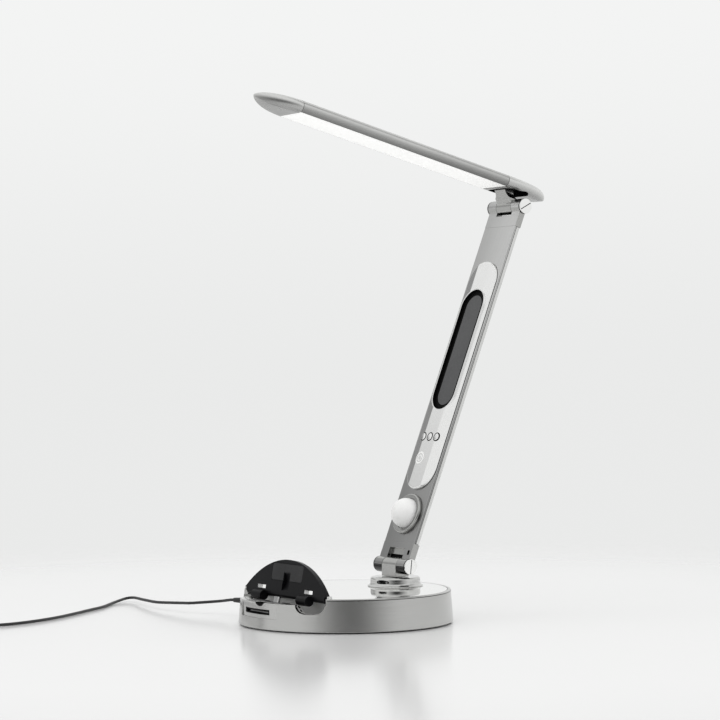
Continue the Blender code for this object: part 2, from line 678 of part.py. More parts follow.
def make_base():
    """The housing and everything that stays still with it."""
    low = BASE_LIFT
    profile = [
        (base_radius_top - BASE_EDGE, BASE_HEIGHT), (base_radius_top, BASE_HEIGHT - BASE_EDGE),
        (BASE_RADIUS_LOW, low + BASE_EDGE), (BASE_RADIUS_LOW - BASE_EDGE, low),
        (BASE_RADIUS_LOW - BASE_WALL, low), (inner_radius, ledge_z - LEDGE_THICKNESS),
        (inner_radius - LEDGE_WIDTH, ledge_z - LEDGE_THICKNESS), (inner_radius - LEDGE_WIDTH, ledge_z),
        (base_radius_top - RIM_WIDTH, ledge_z), (base_radius_top - RIM_WIDTH, BASE_HEIGHT),
    ]
    housing = place_mesh("base_housing", turned_mesh(profile, ROUND_STEPS, closed=True), "satin_silver")

    block_radius = base_radius_top - GAP
    block_low = floor_top_z + BLOCK_LIFT
    block_outline = [around(block_angle * i / 14, block_radius)[:2] for i in range(-14, 15)]
    block_height = ledge_z - block_low
    block = place_mesh("join_block", sheet_mesh(
        [block_outline], block_height, "Z", (0, 0, block_low + block_height / 2)))
    cut(housing, block, "UNION")

    boss_height = ledge_z - floor_top_z - GAP
    for angle in screw_angles:
        inner = screw_circle - BOSS_RADIUS
        place = around(angle, (inner + block_radius) / 2, ledge_z - boss_height / 2)
        mesh = box_mesh((2 * BOSS_RADIUS, block_radius - inner, boss_height))
        boss = place_mesh("join_boss", mesh, place=place, turn=(0, 0, angle))
        cut(housing, boss, "UNION")

    trench_low = block_low - OVERRUN
    trench_height = BASE_HEIGHT + OVERRUN - trench_low
    trench = place_mesh("cut_trench", sheet_mesh(
        [trench_outline(0.0)], trench_height, "Z", (0, 0, trench_low + trench_height / 2)))
    dock = dock_opening()
    scoops = [scoop_cutter(side) for side in (-1, 1)]
    notch_centre = lip_z - NOTCH_DEPTH + NOTCH_RADIUS
    notch_y = -BASE_RADIUS_LOW - OVERRUN + NOTCH_LENGTH / 2
    notch = place_mesh("cut_notch", rod_mesh(NOTCH_RADIUS, NOTCH_LENGTH, "Y", 32, (NOTCH_X, notch_y, notch_centre)))
    pin_hole = place_mesh("cut_pin_hole", rod_mesh(
        HINGE_PIN_RADIUS + GAP, 2 * (flap_pin_half + GAP), "X", 16, (0, flap_axis_y, flap_axis_z)))
    slot_height = slot_high_z - slot_low_z
    slot_middle = (slot_high_z + slot_low_z) / 2
    slot = place_mesh("cut_slot", box_mesh(
        (2 * SLOT_HALF, SLOT_DEPTH + OVERRUN, slot_height),
        (0, -BASE_RADIUS_LOW - OVERRUN / 2 + SLOT_DEPTH / 2, slot_middle)))
    frame_angles = [frame_half_angle * i / 8 for i in range(-8, 9)]
    frame_outline = [around(a, base_middle - FRAME_DEPTH)[:2] for a in frame_angles]
    frame_outline += [around(a, BASE_RADIUS_LOW + OVERRUN)[:2] for a in reversed(frame_angles)]
    frame_height = frame_high_z - frame_low_z
    frame = place_mesh("cut_frame", sheet_mesh([frame_outline], frame_height, "Z", (0, 0, frame_low_z + frame_height / 2)))
    jack_x, jack_y, jack_z = around(jack_angle, BASE_RADIUS_LOW, JACK_Z)
    plug_hole = place_mesh(
        "cut_plug_hole", rod_mesh(PLUG_HOLE, 4 * BASE_WALL, "Y", 24), place=(jack_x, jack_y, jack_z),
        turn=(0, 0, jack_angle))
    screw_holes = []
    for angle in screw_angles:
        x, y, z = around(angle, screw_circle, floor_z + SCREW_LENGTH / 2)
        screw_holes.append(place_mesh(
            "cut_screw", rod_mesh(SCREW_RADIUS + GAP, SCREW_LENGTH + OVERRUN, "Z", 12), place=(x, y, z)))
    for cutter in [trench, dock, notch, pin_hole, slot, frame, plug_hole] + scoops + screw_holes:
        cut(housing, cutter)

    plate_radius = base_radius_top - RIM_WIDTH - GAP
    top_plate = place_mesh("base_top_plate", rod_mesh(
        plate_radius, PLATE_THICKNESS, "Z", ROUND_STEPS, (0, 0, BASE_HEIGHT - PLATE_THICKNESS / 2)), "mirror_white")
    chord_depth = plate_radius + dock_edge_y + OVERRUN
    chord = place_mesh("cut_chord", box_mesh(
        (2 * BASE_RADIUS_LOW, chord_depth, PLATE_THICKNESS + OVERRUN),
        (0, dock_edge_y - chord_depth / 2, BASE_HEIGHT)))
    bush_hole = place_mesh("cut_bush_hole", rod_mesh(
        SHAFT_RADIUS + GAP + BUSH_WALL + GAP, PLATE_THICKNESS + OVERRUN, "Z", 32, (0, swivel_y, BASE_HEIGHT)))
    cut(top_plate, chord)
    cut(top_plate, bush_hole)

    floor_radius = BASE_RADIUS_LOW - BASE_WALL - 2 * GAP
    floor = place_mesh("base_bottom_plate", rod_mesh(
        floor_radius, FLOOR_THICKNESS, "Z", ROUND_STEPS, (0, 0, floor_z + FLOOR_THICKNESS / 2)), "iron")
    for x in (-1, 1):
        for y in (-1, 1):
            at = (main_board_x + x * (MAIN_BOARD_WIDTH / 2 - 2 * POST_RADIUS),
                  MAIN_BOARD_Y + y * (MAIN_BOARD_LENGTH / 2 - 2 * POST_RADIUS))
            height = POST_HEIGHT + FLOOR_THICKNESS / 2
            post = place_mesh("join_post", rod_mesh(
                POST_RADIUS, height, "Z", 12, (*at, floor_top_z - FLOOR_THICKNESS / 2 + height / 2)))
            cut(floor, post, "UNION")
    for i, angle in enumerate(screw_angles):
        x, y, z = around(angle, screw_circle)
        head_low = floor_z
        shank_top = floor_z + SCREW_LENGTH
        screw_profile = [
            (0, shank_top), (SCREW_RADIUS, shank_top), (SCREW_RADIUS, head_low + SCREW_HEAD_HEIGHT),
            (SCREW_HEAD_RADIUS, head_low + SCREW_HEAD_HEIGHT), (SCREW_HEAD_RADIUS, head_low), (0, head_low),
        ]
        place_mesh(f"base_screw_{i + 1}", turned_mesh(screw_profile, 12), "iron", place=(x, y, 0))
        hole_profile = [
            (0, shank_top), (SCREW_RADIUS + GAP, shank_top),
            (SCREW_RADIUS + GAP, head_low + SCREW_HEAD_HEIGHT + GAP),
            (SCREW_HEAD_RADIUS + GAP, head_low + SCREW_HEAD_HEIGHT + GAP),
            (SCREW_HEAD_RADIUS + GAP, head_low - OVERRUN), (0, head_low - OVERRUN),
        ]
        hole = place_mesh("cut_screw_head", turned_mesh(hole_profile, 12), place=(x, y, 0))
        cut(floor, hole)
    place_mesh("anti_slip_pad", rod_mesh(
        pad_radius, PAD_THICKNESS, "Z", ROUND_STEPS, (0, 0, PAD_THICKNESS / 2)), "black_rubber")
    ballast_low = floor_top_z + GAP
    place_mesh("ballast_weight", rod_mesh(
        ballast_radius, BALLAST_HEIGHT, "Z", 40, (0, BALLAST_Y, ballast_low + BALLAST_HEIGHT / 2)), "iron")
    board_low = floor_top_z + POST_HEIGHT + GAP
    place_mesh("main_circuit_board", box_mesh(
        (MAIN_BOARD_WIDTH, MAIN_BOARD_LENGTH, BOARD_THICKNESS),
        (main_board_x, MAIN_BOARD_Y, board_low + BOARD_THICKNESS / 2)), "board_green")
    return scoops, frame


def make_dock_tray(scoops):
    """The dark liner in the trench, with bearings for the plug barrel."""
    well_radius = swing_radius + GAP
    tray_high = lip_z - GAP
    height = tray_high - tray_low_z
    tray = place_mesh("dock_tray", sheet_mesh(
        [trench_outline(GAP)], height, "Z", (0, 0, tray_low_z + height / 2)), "black_plastic")
    inside = GAP + TRAY_WALL
    lower_height = rib_top_z - tray_floor_z
    lower = place_mesh("cut_tray_low", sheet_mesh(
        [trench_outline(inside, ribs=True)], lower_height, "Z", (0, 0, tray_floor_z + lower_height / 2)))
    upper_height = tray_high - rib_top_z + OVERRUN
    upper = place_mesh("cut_tray_high", sheet_mesh(
        [trench_outline(inside + GAP)], upper_height + RUN, "Z", (0, 0, rib_top_z + (upper_height - RUN) / 2)))
    widest = max(width for width, _ in plug_sizes.values())
    well = place_mesh("cut_well", rod_mesh(
        well_radius, widest + 4 * RUN, "X", 40, (0, barrel_y, barrel_z)))
    bearing = place_mesh("cut_bearing", rod_mesh(
        AXLE_RADIUS + GAP, 2 * (rib_inner_x + RIB_THICKNESS + RUN), "X", 20, (0, barrel_y, barrel_z)))
    for cutter in [upper, lower, well, bearing] + scoops:
        cut(tray, cutter)


def make_front_socket(frame):
    """A wide socket slot in the front wall, with its tongue. Its mouth follows the wall's round frame."""
    height = slot_high_z - slot_low_z - 2 * GAP
    middle = (slot_high_z + slot_low_z) / 2
    width = 2 * (SLOT_HALF - GAP)
    front = -base_middle
    back = -BASE_RADIUS_LOW + SLOT_DEPTH - GAP
    length = back - front
    shell = place_mesh("front_port_shell", box_mesh((width, length, height), (0, (back + front) / 2, middle)),
                       "black_plastic")
    hollow_length = length - SLOT_WALL + OVERRUN
    hollow = place_mesh("cut_port", box_mesh(
        (width - 2 * SLOT_WALL, hollow_length, height - 2 * SLOT_WALL),
        (0, back - SLOT_WALL - hollow_length / 2, middle)))
    cut(shell, hollow)
    cut(shell, frame)
    tongue_length = length - SLOT_WALL - GAP - SLOT_INSET
    place_mesh("front_port_tongue", box_mesh(
        (2 * TONGUE_HALF, tongue_length, TONGUE_THICKNESS),
        (TONGUE_SHIFT, back - SLOT_WALL - GAP - tongue_length / 2, middle)), "lcd_grey")


def make_lead_socket():
    """The socket block behind the left wall, bored for the lead's plug."""
    face = inner_radius - GAP
    middle = around(jack_angle, face - JACK_DEPTH / 2, JACK_Z)
    jack = place_mesh("lead_socket", box_mesh((JACK_WIDTH, JACK_DEPTH, JACK_WIDTH)), "black_plastic",
                      place=middle, turn=(0, 0, jack_angle))
    bore_length = JACK_BORE_DEPTH + OVERRUN
    bore_at = around(jack_angle, face - JACK_BORE_DEPTH + bore_length / 2, JACK_Z)
    bore = place_mesh("cut_bore", rod_mesh(JACK_BORE, bore_length, "Y", 24), place=bore_at,
                      turn=(0, 0, jack_angle))
    cut(jack, bore)


def make_flap():
    """The rest, drawn as it lies closed in its frame, which stands open at rest."""
    frame = frame_at("flap_frame", (0, flap_axis_y, flap_axis_z), -(90 + FLAP_LEAN))
    reach = math.degrees(math.asin((flap_half_length + FLAP_WING) / flap_radius))
    rim = [around(reach * i / 20, flap_radius)[:2] for i in range(-20, 21)]
    rim = [(x, y - flap_axis_y) for x, y in rim]
    right_side = [(flap_half_length, -FLAP_SHOULDER), (flap_half_length, 0)]
    outline = rim + right_side + [(-x, y) for x, y in reversed(right_side)]
    plate_mesh = sheet_mesh([outline], FLAP_THICKNESS, "Z", (0, 0, flap_low + FLAP_THICKNESS / 2))
    flap = place_mesh("rest_flap", plate_mesh, "black_plastic", frame)
    spine = place_mesh("join_spine", rod_mesh(FLAP_AXIS_DROP, 2 * flap_half_length, "X", 20), parent=frame)
    cut(flap, spine, "UNION")
    lug_length = LUG_OUTER_X - LUG_INNER_X
    window_length = WINDOW_HIGH - WINDOW_LOW
    window_width = WINDOW_OUTER_X - WINDOW_INNER_X
    for side in (-1, 1):
        lug_x = side * (LUG_INNER_X + LUG_OUTER_X) / 2
        lug = place_mesh("join_lug", rod_mesh(LUG_RADIUS, lug_length, "X", 24, (lug_x, LUG_Y, LUG_Z)), parent=frame)
        cut(flap, lug, "UNION")
        window_x = side * (WINDOW_INNER_X + WINDOW_OUTER_X) / 2
        window = place_mesh("cut_window", box_mesh(
            (window_width, window_length, 4 * FLAP_THICKNESS),
            (window_x, -(WINDOW_LOW + WINDOW_HIGH) / 2, 0)), parent=frame)
        cut(flap, window)
    widest = max(width for width, _ in plug_sizes.values())
    pocket = place_mesh("cut_pocket", rod_mesh(
        swing_radius + 2 * GAP, widest + 4 * RUN, "X", 40,
        (0, barrel_y - flap_axis_y, barrel_z - flap_axis_z)), parent=frame)
    bore = place_mesh("cut_hinge_bore", rod_mesh(
        HINGE_PIN_RADIUS + GAP, 2 * (flap_half_length + OVERRUN), "X", 16), parent=frame)
    pad_length = REST_PAD_HIGH - REST_PAD_LOW
    pad_middle = -(REST_PAD_LOW + REST_PAD_HIGH) / 2
    pad_seat = place_mesh("cut_pad_seat", sheet_mesh(
        [rounded_box(2 * (REST_PAD_HALF + GAP), pad_length + 2 * GAP, REST_PAD_CORNER, 4, (0, pad_middle))],
        2 * (REST_PAD_THICKNESS + GAP), "Z", (0, 0, flap_low)), parent=frame)
    for cutter in (pocket, bore, pad_seat):
        cut(flap, cutter)
    pad = place_mesh("rest_pad", sheet_mesh(
        [rounded_box(2 * REST_PAD_HALF, pad_length, REST_PAD_CORNER, 4, (0, pad_middle))],
        REST_PAD_THICKNESS, "Z", (0, 0, flap_low + REST_PAD_THICKNESS / 2)), "black_rubber", frame)
    cut(pad, pocket)
    place_mesh("flap_hinge_pin", rod_mesh(
        HINGE_PIN_RADIUS, 2 * flap_pin_half, "X", 16, (0, flap_axis_y, flap_axis_z)), "chrome")


def make_barrel():
    """The barrel that brings one of three plugs upright, with two knurled grips."""
    frame = frame_at("barrel_frame", (0, barrel_y, barrel_z), -BARREL_LEAN)
    axle_end = rib_inner_x + RIB_THICKNESS - GAP
    half = [
        (AXLE_RADIUS, axle_end), (AXLE_RADIUS, barrel_half), (barrel_radius, barrel_half),
        (barrel_radius, GRIP_OUTER_X), (grip_radius, GRIP_OUTER_X), (grip_radius, GRIP_INNER_X),
        (barrel_radius, GRIP_INNER_X),
    ]
    profile = [(0, axle_end)] + half + [(r, -x) for r, x in reversed(half)] + [(0, -axle_end)]
    barrel = place_mesh("plug_barrel", turned_mesh(profile, 20, axis="X"), "black_plastic", frame)
    for i, (name, (width, thickness)) in enumerate(plug_sizes.items()):
        length = swing_radius - PLUG_ROOT
        middle = PLUG_ROOT + length / 2
        outline = rounded_box(width, thickness, thickness * 0.45, 3)
        seat = place_mesh("cut_plug_seat", box_mesh(
            (width + 2 * GAP, thickness + 2 * GAP, length + 2 * GAP), (0, 0, middle)), parent=frame)
        turn = 120 * i
        seat.rotation_euler = (math.radians(turn), 0, 0)
        cut(barrel, seat)
        place_mesh(name, sheet_mesh([outline], length, "Z", (0, 0, middle)), "chrome", frame, turn=(turn, 0, 0))


def make_swivel():
    """The turning collar with its shaft through the base's top, and the lower hinge's fixed knuckle."""
    low = GAP
    top = GAP + COLLAR_HEIGHT
    waist = (COLLAR_RADIUS_TOP * 2 + COLLAR_RADIUS_LOW) / 3
    shaft_low = -SHAFT_LENGTH
    profile = [
        (0, top), (COLLAR_RADIUS_TOP - COLLAR_FLANGE, top), (COLLAR_RADIUS_TOP, top - COLLAR_FLANGE),
        (COLLAR_RADIUS_TOP * 0.985, top - COLLAR_HEIGHT * 0.35),
        (COLLAR_RADIUS_TOP * 1.005, top - COLLAR_HEIGHT * 0.6), (waist, top - COLLAR_HEIGHT * 0.8),
        (COLLAR_RADIUS_LOW, low + COLLAR_FLANGE), (COLLAR_RADIUS_LOW, low),
        (SHAFT_RADIUS, low), (SHAFT_RADIUS, shaft_low), (0, shaft_low),
    ]
    frame = frame_at("swivel_frame", (0, swivel_y, BASE_HEIGHT))
    place_mesh("swivel_collar", turned_mesh(profile, 40), "chrome", frame)
    bush_bore = SHAFT_RADIUS + GAP
    bush_outer = bush_bore + BUSH_WALL
    flange_top = -PLATE_THICKNESS - GAP
    flange_low = flange_top - BUSH_FLANGE_THICKNESS
    bush_low = flange_low - GAP
    bush = [
        (bush_outer, 0), (bush_outer, flange_top), (bush_outer + BUSH_FLANGE, flange_top),
        (bush_outer + BUSH_FLANGE, flange_low), (bush_outer, flange_low), (bush_outer, -BUSH_DEPTH),
        (bush_bore, -BUSH_DEPTH), (bush_bore, 0),
    ]
    place_mesh("swivel_bush", turned_mesh(bush, 20, closed=True), "brass", place=(0, swivel_y, BASE_HEIGHT))
    nut_top = -BUSH_DEPTH - GAP
    nut_outline = [(NUT_RADIUS * math.cos(math.tau * i / NUT_SIDES), NUT_RADIUS * math.sin(math.tau * i / NUT_SIDES))
                   for i in range(NUT_SIDES)]
    nut_bore = arc((0, 0), SHAFT_RADIUS + GAP, 0, 345, 23)
    place_mesh("swivel_nut", sheet_mesh(
        [nut_outline, nut_bore], NUT_THICKNESS, "Z", (0, 0, nut_top - NUT_THICKNESS / 2)), "brass", frame)
    foot = top + GAP
    axis_z = lower_axis_z - BASE_HEIGHT
    post_outline = arc((0, axis_z), KNUCKLE_RADIUS, 0, 180, 14) + [(-KNUCKLE_RADIUS, foot), (KNUCKLE_RADIUS, foot)]
    bore = arc((0, axis_z), PIN_RADIUS + GAP, 0, 345, 23)
    place_mesh("lower_knuckle", sheet_mesh([post_outline, bore], KNUCKLE_WIDTH, "X"), "chrome", frame)
    return frame


def make_fork(name, frame, away):
    """A clevis on one end of the arm: two lugs round the hinge axis and a tongue into the arm."""
    front_turn = math.degrees(math.asin(ARM_FRONT / KNUCKLE_RADIUS))
    back_turn = math.degrees(math.asin(ARM_BACK / KNUCKLE_RADIUS))
    outline = arc((0, 0), KNUCKLE_RADIUS, 90 + front_turn, 450 - back_turn, 28)
    outline += [(ARM_BACK, FORK_LENGTH), (-ARM_FRONT, FORK_LENGTH)]
    fork = place_mesh(name, sheet_mesh([[(y, away * z) for y, z in outline]], 2 * HINGE_HALF, "X"), "chrome", frame)
    tongue_front = -ARM_FRONT + COVER_THICKNESS + GAP
    tongue_depth = ARM_BACK - ARM_WALL - GAP - tongue_front
    tongue_length = FORK_TONGUE + OVERRUN
    tongue = place_mesh("join_tongue", box_mesh(
        (ARM_WIDTH - 2 * (ARM_WALL + GAP), tongue_depth, tongue_length),
        (0, tongue_front + tongue_depth / 2, away * (FORK_LENGTH - OVERRUN + tongue_length / 2))), parent=frame)
    cut(fork, tongue, "UNION")
    slot_length = FORK_SLOT_REACH + 2 * KNUCKLE_RADIUS
    slot = place_mesh("cut_fork", box_mesh(
        (2 * fork_inner, 4 * KNUCKLE_RADIUS, slot_length),
        (0, 0, away * (FORK_SLOT_REACH - slot_length / 2))), parent=frame)
    bore = place_mesh("cut_pin_bore", rod_mesh(PIN_RADIUS + GAP, 4 * HINGE_HALF, "X", 24), parent=frame)
    cut(fork, slot)
    cut(fork, bore)
    return fork


def recess_fork(fork, frame):
    """The step above the lower slot and the small niche beside it, both in the front face."""
    step_length = FORK_STEP_REACH - FORK_SLOT_REACH + OVERRUN
    step = place_mesh("cut_fork_step", box_mesh(
        (2 * (fork_inner + RUN), 2 * FORK_STEP_DEPTH, step_length),
        (0, -ARM_FRONT, FORK_STEP_REACH - step_length / 2)), parent=frame)
    niche = place_mesh("cut_niche", box_mesh(
        (NICHE_WIDTH, 2 * NICHE_DEPTH, NICHE_HIGH - NICHE_LOW),
        (NICHE_X, -ARM_FRONT, (NICHE_HIGH + NICHE_LOW) / 2)), parent=frame)
    cut(fork, step)
    cut(fork, niche)


def make_hinge_pin(prefix, frame, slot_turn):
    """The pin through both lugs and its two slotted caps."""
    place_mesh(f"{prefix}_hinge_pin", rod_mesh(PIN_RADIUS, 2 * HINGE_HALF, "X", 24), "chrome", frame)
    for side, word in ((-1, "left"), (1, "right")):
        inner = HINGE_HALF + GAP
        outer = inner + CAP_THICKNESS
        radius = KNUCKLE_RADIUS
        profile = [(0, outer), (radius - CAP_NECK, outer), (radius, outer - CAP_NECK / 2), (radius, inner), (0, inner)]
        cap = place_mesh(f"{prefix}_hinge_cap_{word}", turned_mesh(profile, 24, axis="X"), "chrome", frame)
        if side < 0:
            cap.data.transform(Matrix.Rotation(math.pi, 4, "Z"))
        slot = place_mesh("cut_cap_slot", box_mesh(
            (2 * CAP_SLOT_DEPTH, CAP_SLOT_WIDTH, 3 * radius), (side * outer, 0, 0)), parent=frame)
        slot.rotation_euler = (math.radians(slot_turn), 0, 0)
        cut(cap, slot)


def make_arm(swivel):
    """The arm in its own frame: +Z runs up along it from the lower hinge, -Y is its front face."""
    frame = frame_at("arm_frame", (0, 0, lower_axis_z - BASE_HEIGHT), -ARM_LEAN, swivel)
    recess_fork(make_fork("lower_fork", frame, 1), frame)
    make_hinge_pin("lower", frame, 12.0)
    low = FORK_LENGTH + GAP
    high = ARM_LENGTH - FORK_LENGTH - GAP
    length = high - low
    half = ARM_WIDTH / 2
    seam = -ARM_FRONT + COVER_THICKNESS + GAP
    corner = ARM_CORNER
    wall = ARM_WALL
    right = arc((half - corner, ARM_BACK - corner), corner, 90, 0, 4)
    right += [(half, seam), (half - wall, seam), (half - wall, ARM_BACK - wall)]
    outline = right + [(-x, y) for x, y in reversed(right)]
    place_mesh("arm_channel", sheet_mesh([outline], length, "Z", (0, 0, low + length / 2)), "satin_silver", frame)
    edge = seam - GAP
    front = -ARM_FRONT
    bevel = COVER_THICKNESS * 0.6
    cover_right = [(half, edge), (half, front + bevel)]
    cover_right += arc((half - bevel, front + bevel), bevel, 0, -90, 3)[1:]
    cover_outline = cover_right + [(-x, y) for x, y in reversed(cover_right)]
    place_mesh("arm_cover", sheet_mesh([cover_outline], length, "Z", (0, 0, low + length / 2)), "arm_grey", frame)
    board_y = ARM_BACK - ARM_WALL - GAP - ARM_BOARD_THICKNESS / 2
    place_mesh("arm_circuit_board", box_mesh(
        (ARM_BOARD_WIDTH, ARM_BOARD_THICKNESS, arm_board_high - ARM_BOARD_LOW),
        (0, board_y, (arm_board_high + ARM_BOARD_LOW) / 2)), "board_green", frame)
    make_pod(frame)
    make_sensor(frame)
    top = frame_at("arm_top_frame", (0, 0, ARM_LENGTH), 0.0, frame)
    make_fork("upper_fork", top, -1)
    make_hinge_pin("upper", top, 68.0)
    return top


def make_pod(frame):
    """The raised display pod with its window, panel, touch key and three buttons."""
    middle = -pod_base - POD_HEIGHT / 2
    pod = place_mesh("display_pod", sheet_mesh(
        [capsule(POD_RADIUS, POD_LOW, pod_high)], POD_HEIGHT, "Y", (0, middle, 0)), "pod_silver", frame)
    soften(pod, POD_EDGE, 2)
    inside = POD_HEIGHT - POD_WALL
    hollow_low = -pod_base + OVERRUN
    hollow_depth = inside + OVERRUN
    hollow = place_mesh("cut_pod", sheet_mesh(
        [capsule(POD_RADIUS - POD_WALL, POD_LOW + POD_WALL, pod_high - POD_WALL)],
        hollow_depth, "Y", (0, hollow_low - hollow_depth / 2, 0)), parent=frame)
    opening = place_mesh("cut_display", sheet_mesh(
        [capsule(WINDOW_RADIUS, WINDOW_BOTTOM, window_top)], 4 * POD_HEIGHT, "Y", (0, middle, 0)), parent=frame)
    cut(pod, hollow)
    cut(pod, opening)
    glass_front = -pod_face + GLASS_INSET
    glass_radius = WINDOW_RADIUS - GAP
    place_mesh("display_window", sheet_mesh(
        [capsule(glass_radius, WINDOW_BOTTOM + GAP, window_top - GAP)],
        GLASS_THICKNESS, "Y", (0, glass_front + GLASS_THICKNESS / 2, 0)), "dark_glass", frame)
    panel_radius = glass_radius - PANEL_MARGIN
    panel_front = glass_front + GLASS_THICKNESS + GAP
    place_mesh("display_panel", sheet_mesh(
        [capsule(panel_radius, WINDOW_BOTTOM + PANEL_MARGIN, window_top - PANEL_MARGIN)],
        PANEL_THICKNESS, "Y", (0, panel_front + PANEL_THICKNESS / 2, 0)), "lcd_grey", frame)
    for i in range(3):
        x = (i - 1) * BUTTON_PITCH
        hole = place_mesh("cut_button", rod_mesh(
            BUTTON_RADIUS + GAP, 4 * POD_HEIGHT, "Y", 24, (x, middle, BUTTON_S)), parent=frame)
        cut(pod, hole)
        under = pod_face - POD_WALL - GAP
        foot = under - BUTTON_FLANGE_THICKNESS
        face = pod_face + BUTTON_RISE
        outer = BUTTON_RADIUS + BUTTON_FLANGE
        profile = [(0, face), (BUTTON_RADIUS, face), (BUTTON_RADIUS, under), (outer, under), (outer, foot), (0, foot)]
        place_mesh(f"mode_button_{i + 1}", turned_mesh(profile, 20, axis="-Y"), "pod_silver", frame,
                   place=(x, 0, BUTTON_S))
    touch_seat = place_mesh("cut_touch", rod_mesh(
        TOUCH_RADIUS + GAP, 2 * TOUCH_THICKNESS, "Y", 32, (TOUCH_X, -pod_face, TOUCH_S)), parent=frame)
    cut(pod, touch_seat)
    place_mesh("power_touch_key", rod_mesh(
        TOUCH_RADIUS, TOUCH_THICKNESS - GAP, "Y", 32,
        (TOUCH_X, -pod_face + (TOUCH_THICKNESS - GAP) / 2, TOUCH_S)), "pod_silver", frame)


def make_sensor(frame):
    """The night light: a milky dome in a bright ring, with the motion sensor inside."""
    base = ARM_FRONT + GAP
    top = base + SENSOR_RING_HEIGHT
    edge = SENSOR_RING_EDGE
    ring = [
        (SENSOR_BORE + edge, top), (SENSOR_RADIUS - edge, top), (SENSOR_RADIUS, top - edge),
        (SENSOR_RADIUS, base), (SENSOR_BORE, base), (SENSOR_BORE, top - edge / 2),
    ]
    place_mesh("sensor_ring", turned_mesh(ring, 32, closed=True, axis="-Y"), "chrome", frame, place=(0, 0, SENSOR_S))
    quarter = [math.pi / 2 * i / DOME_STEPS for i in range(DOME_STEPS + 1)]
    outer = [(DOME_RADIUS * math.sin(a), top + DOME_HEIGHT * math.cos(a)) for a in quarter]
    inner_radius_dome = DOME_RADIUS - DOME_WALL
    inner_height = DOME_HEIGHT - DOME_WALL
    inner = [(inner_radius_dome * math.sin(a), top + inner_height * math.cos(a)) for a in reversed(quarter)]
    profile = outer + [(DOME_RADIUS, base), (inner_radius_dome, base)] + inner
    place_mesh("sensor_dome", turned_mesh(profile, 28, axis="-Y"), "milk_white", frame, place=(0, 0, SENSOR_S))
    place_mesh("motion_sensor", rod_mesh(
        PROBE_RADIUS, PROBE_HEIGHT, "Y", 20, (0, -base - PROBE_HEIGHT / 2, SENSOR_S)), "chrome", frame)


def head_section(width_share=1.0, height_share=1.0, steps=6):
    """The head's cross-section: flat above and below with bullnose sides, as (x, z) points."""
    straight = head_half - head_bullnose
    points = []
    for side, start in ((1, -90), (-1, 90)):
        for i in range(steps + 1):
            angle = math.radians(start + 180 * i / steps)
            x = side * straight + head_bullnose * math.cos(angle)
            points.append((x * width_share, head_bullnose * math.sin(angle) * height_share))
    return points


def cap_mesh(joint_y, end_y, width_power, round_power, nose_length):
    """A head end cap lofted from the joint to its tip."""
    length = abs(end_y - joint_y)
    direction = 1 if end_y > joint_y else -1
    cap_shares = [0, 0.12, 0.28, 0.44, 0.58, 0.7, 0.8, 0.88, 0.94, 0.975, 0.994]
    rings = []
    for share in cap_shares:
        width = (1 - share ** width_power) ** round_power
        from_tip = (1 - share) * length
        rise = 1 - min(from_tip / nose_length, 1)
        height = math.sqrt(max(1 - rise ** 2, 0))
        y = joint_y + direction * share * length
        rings.append([(x, y, z) for x, z in head_section(width, height)])
    return loft_mesh(rings)


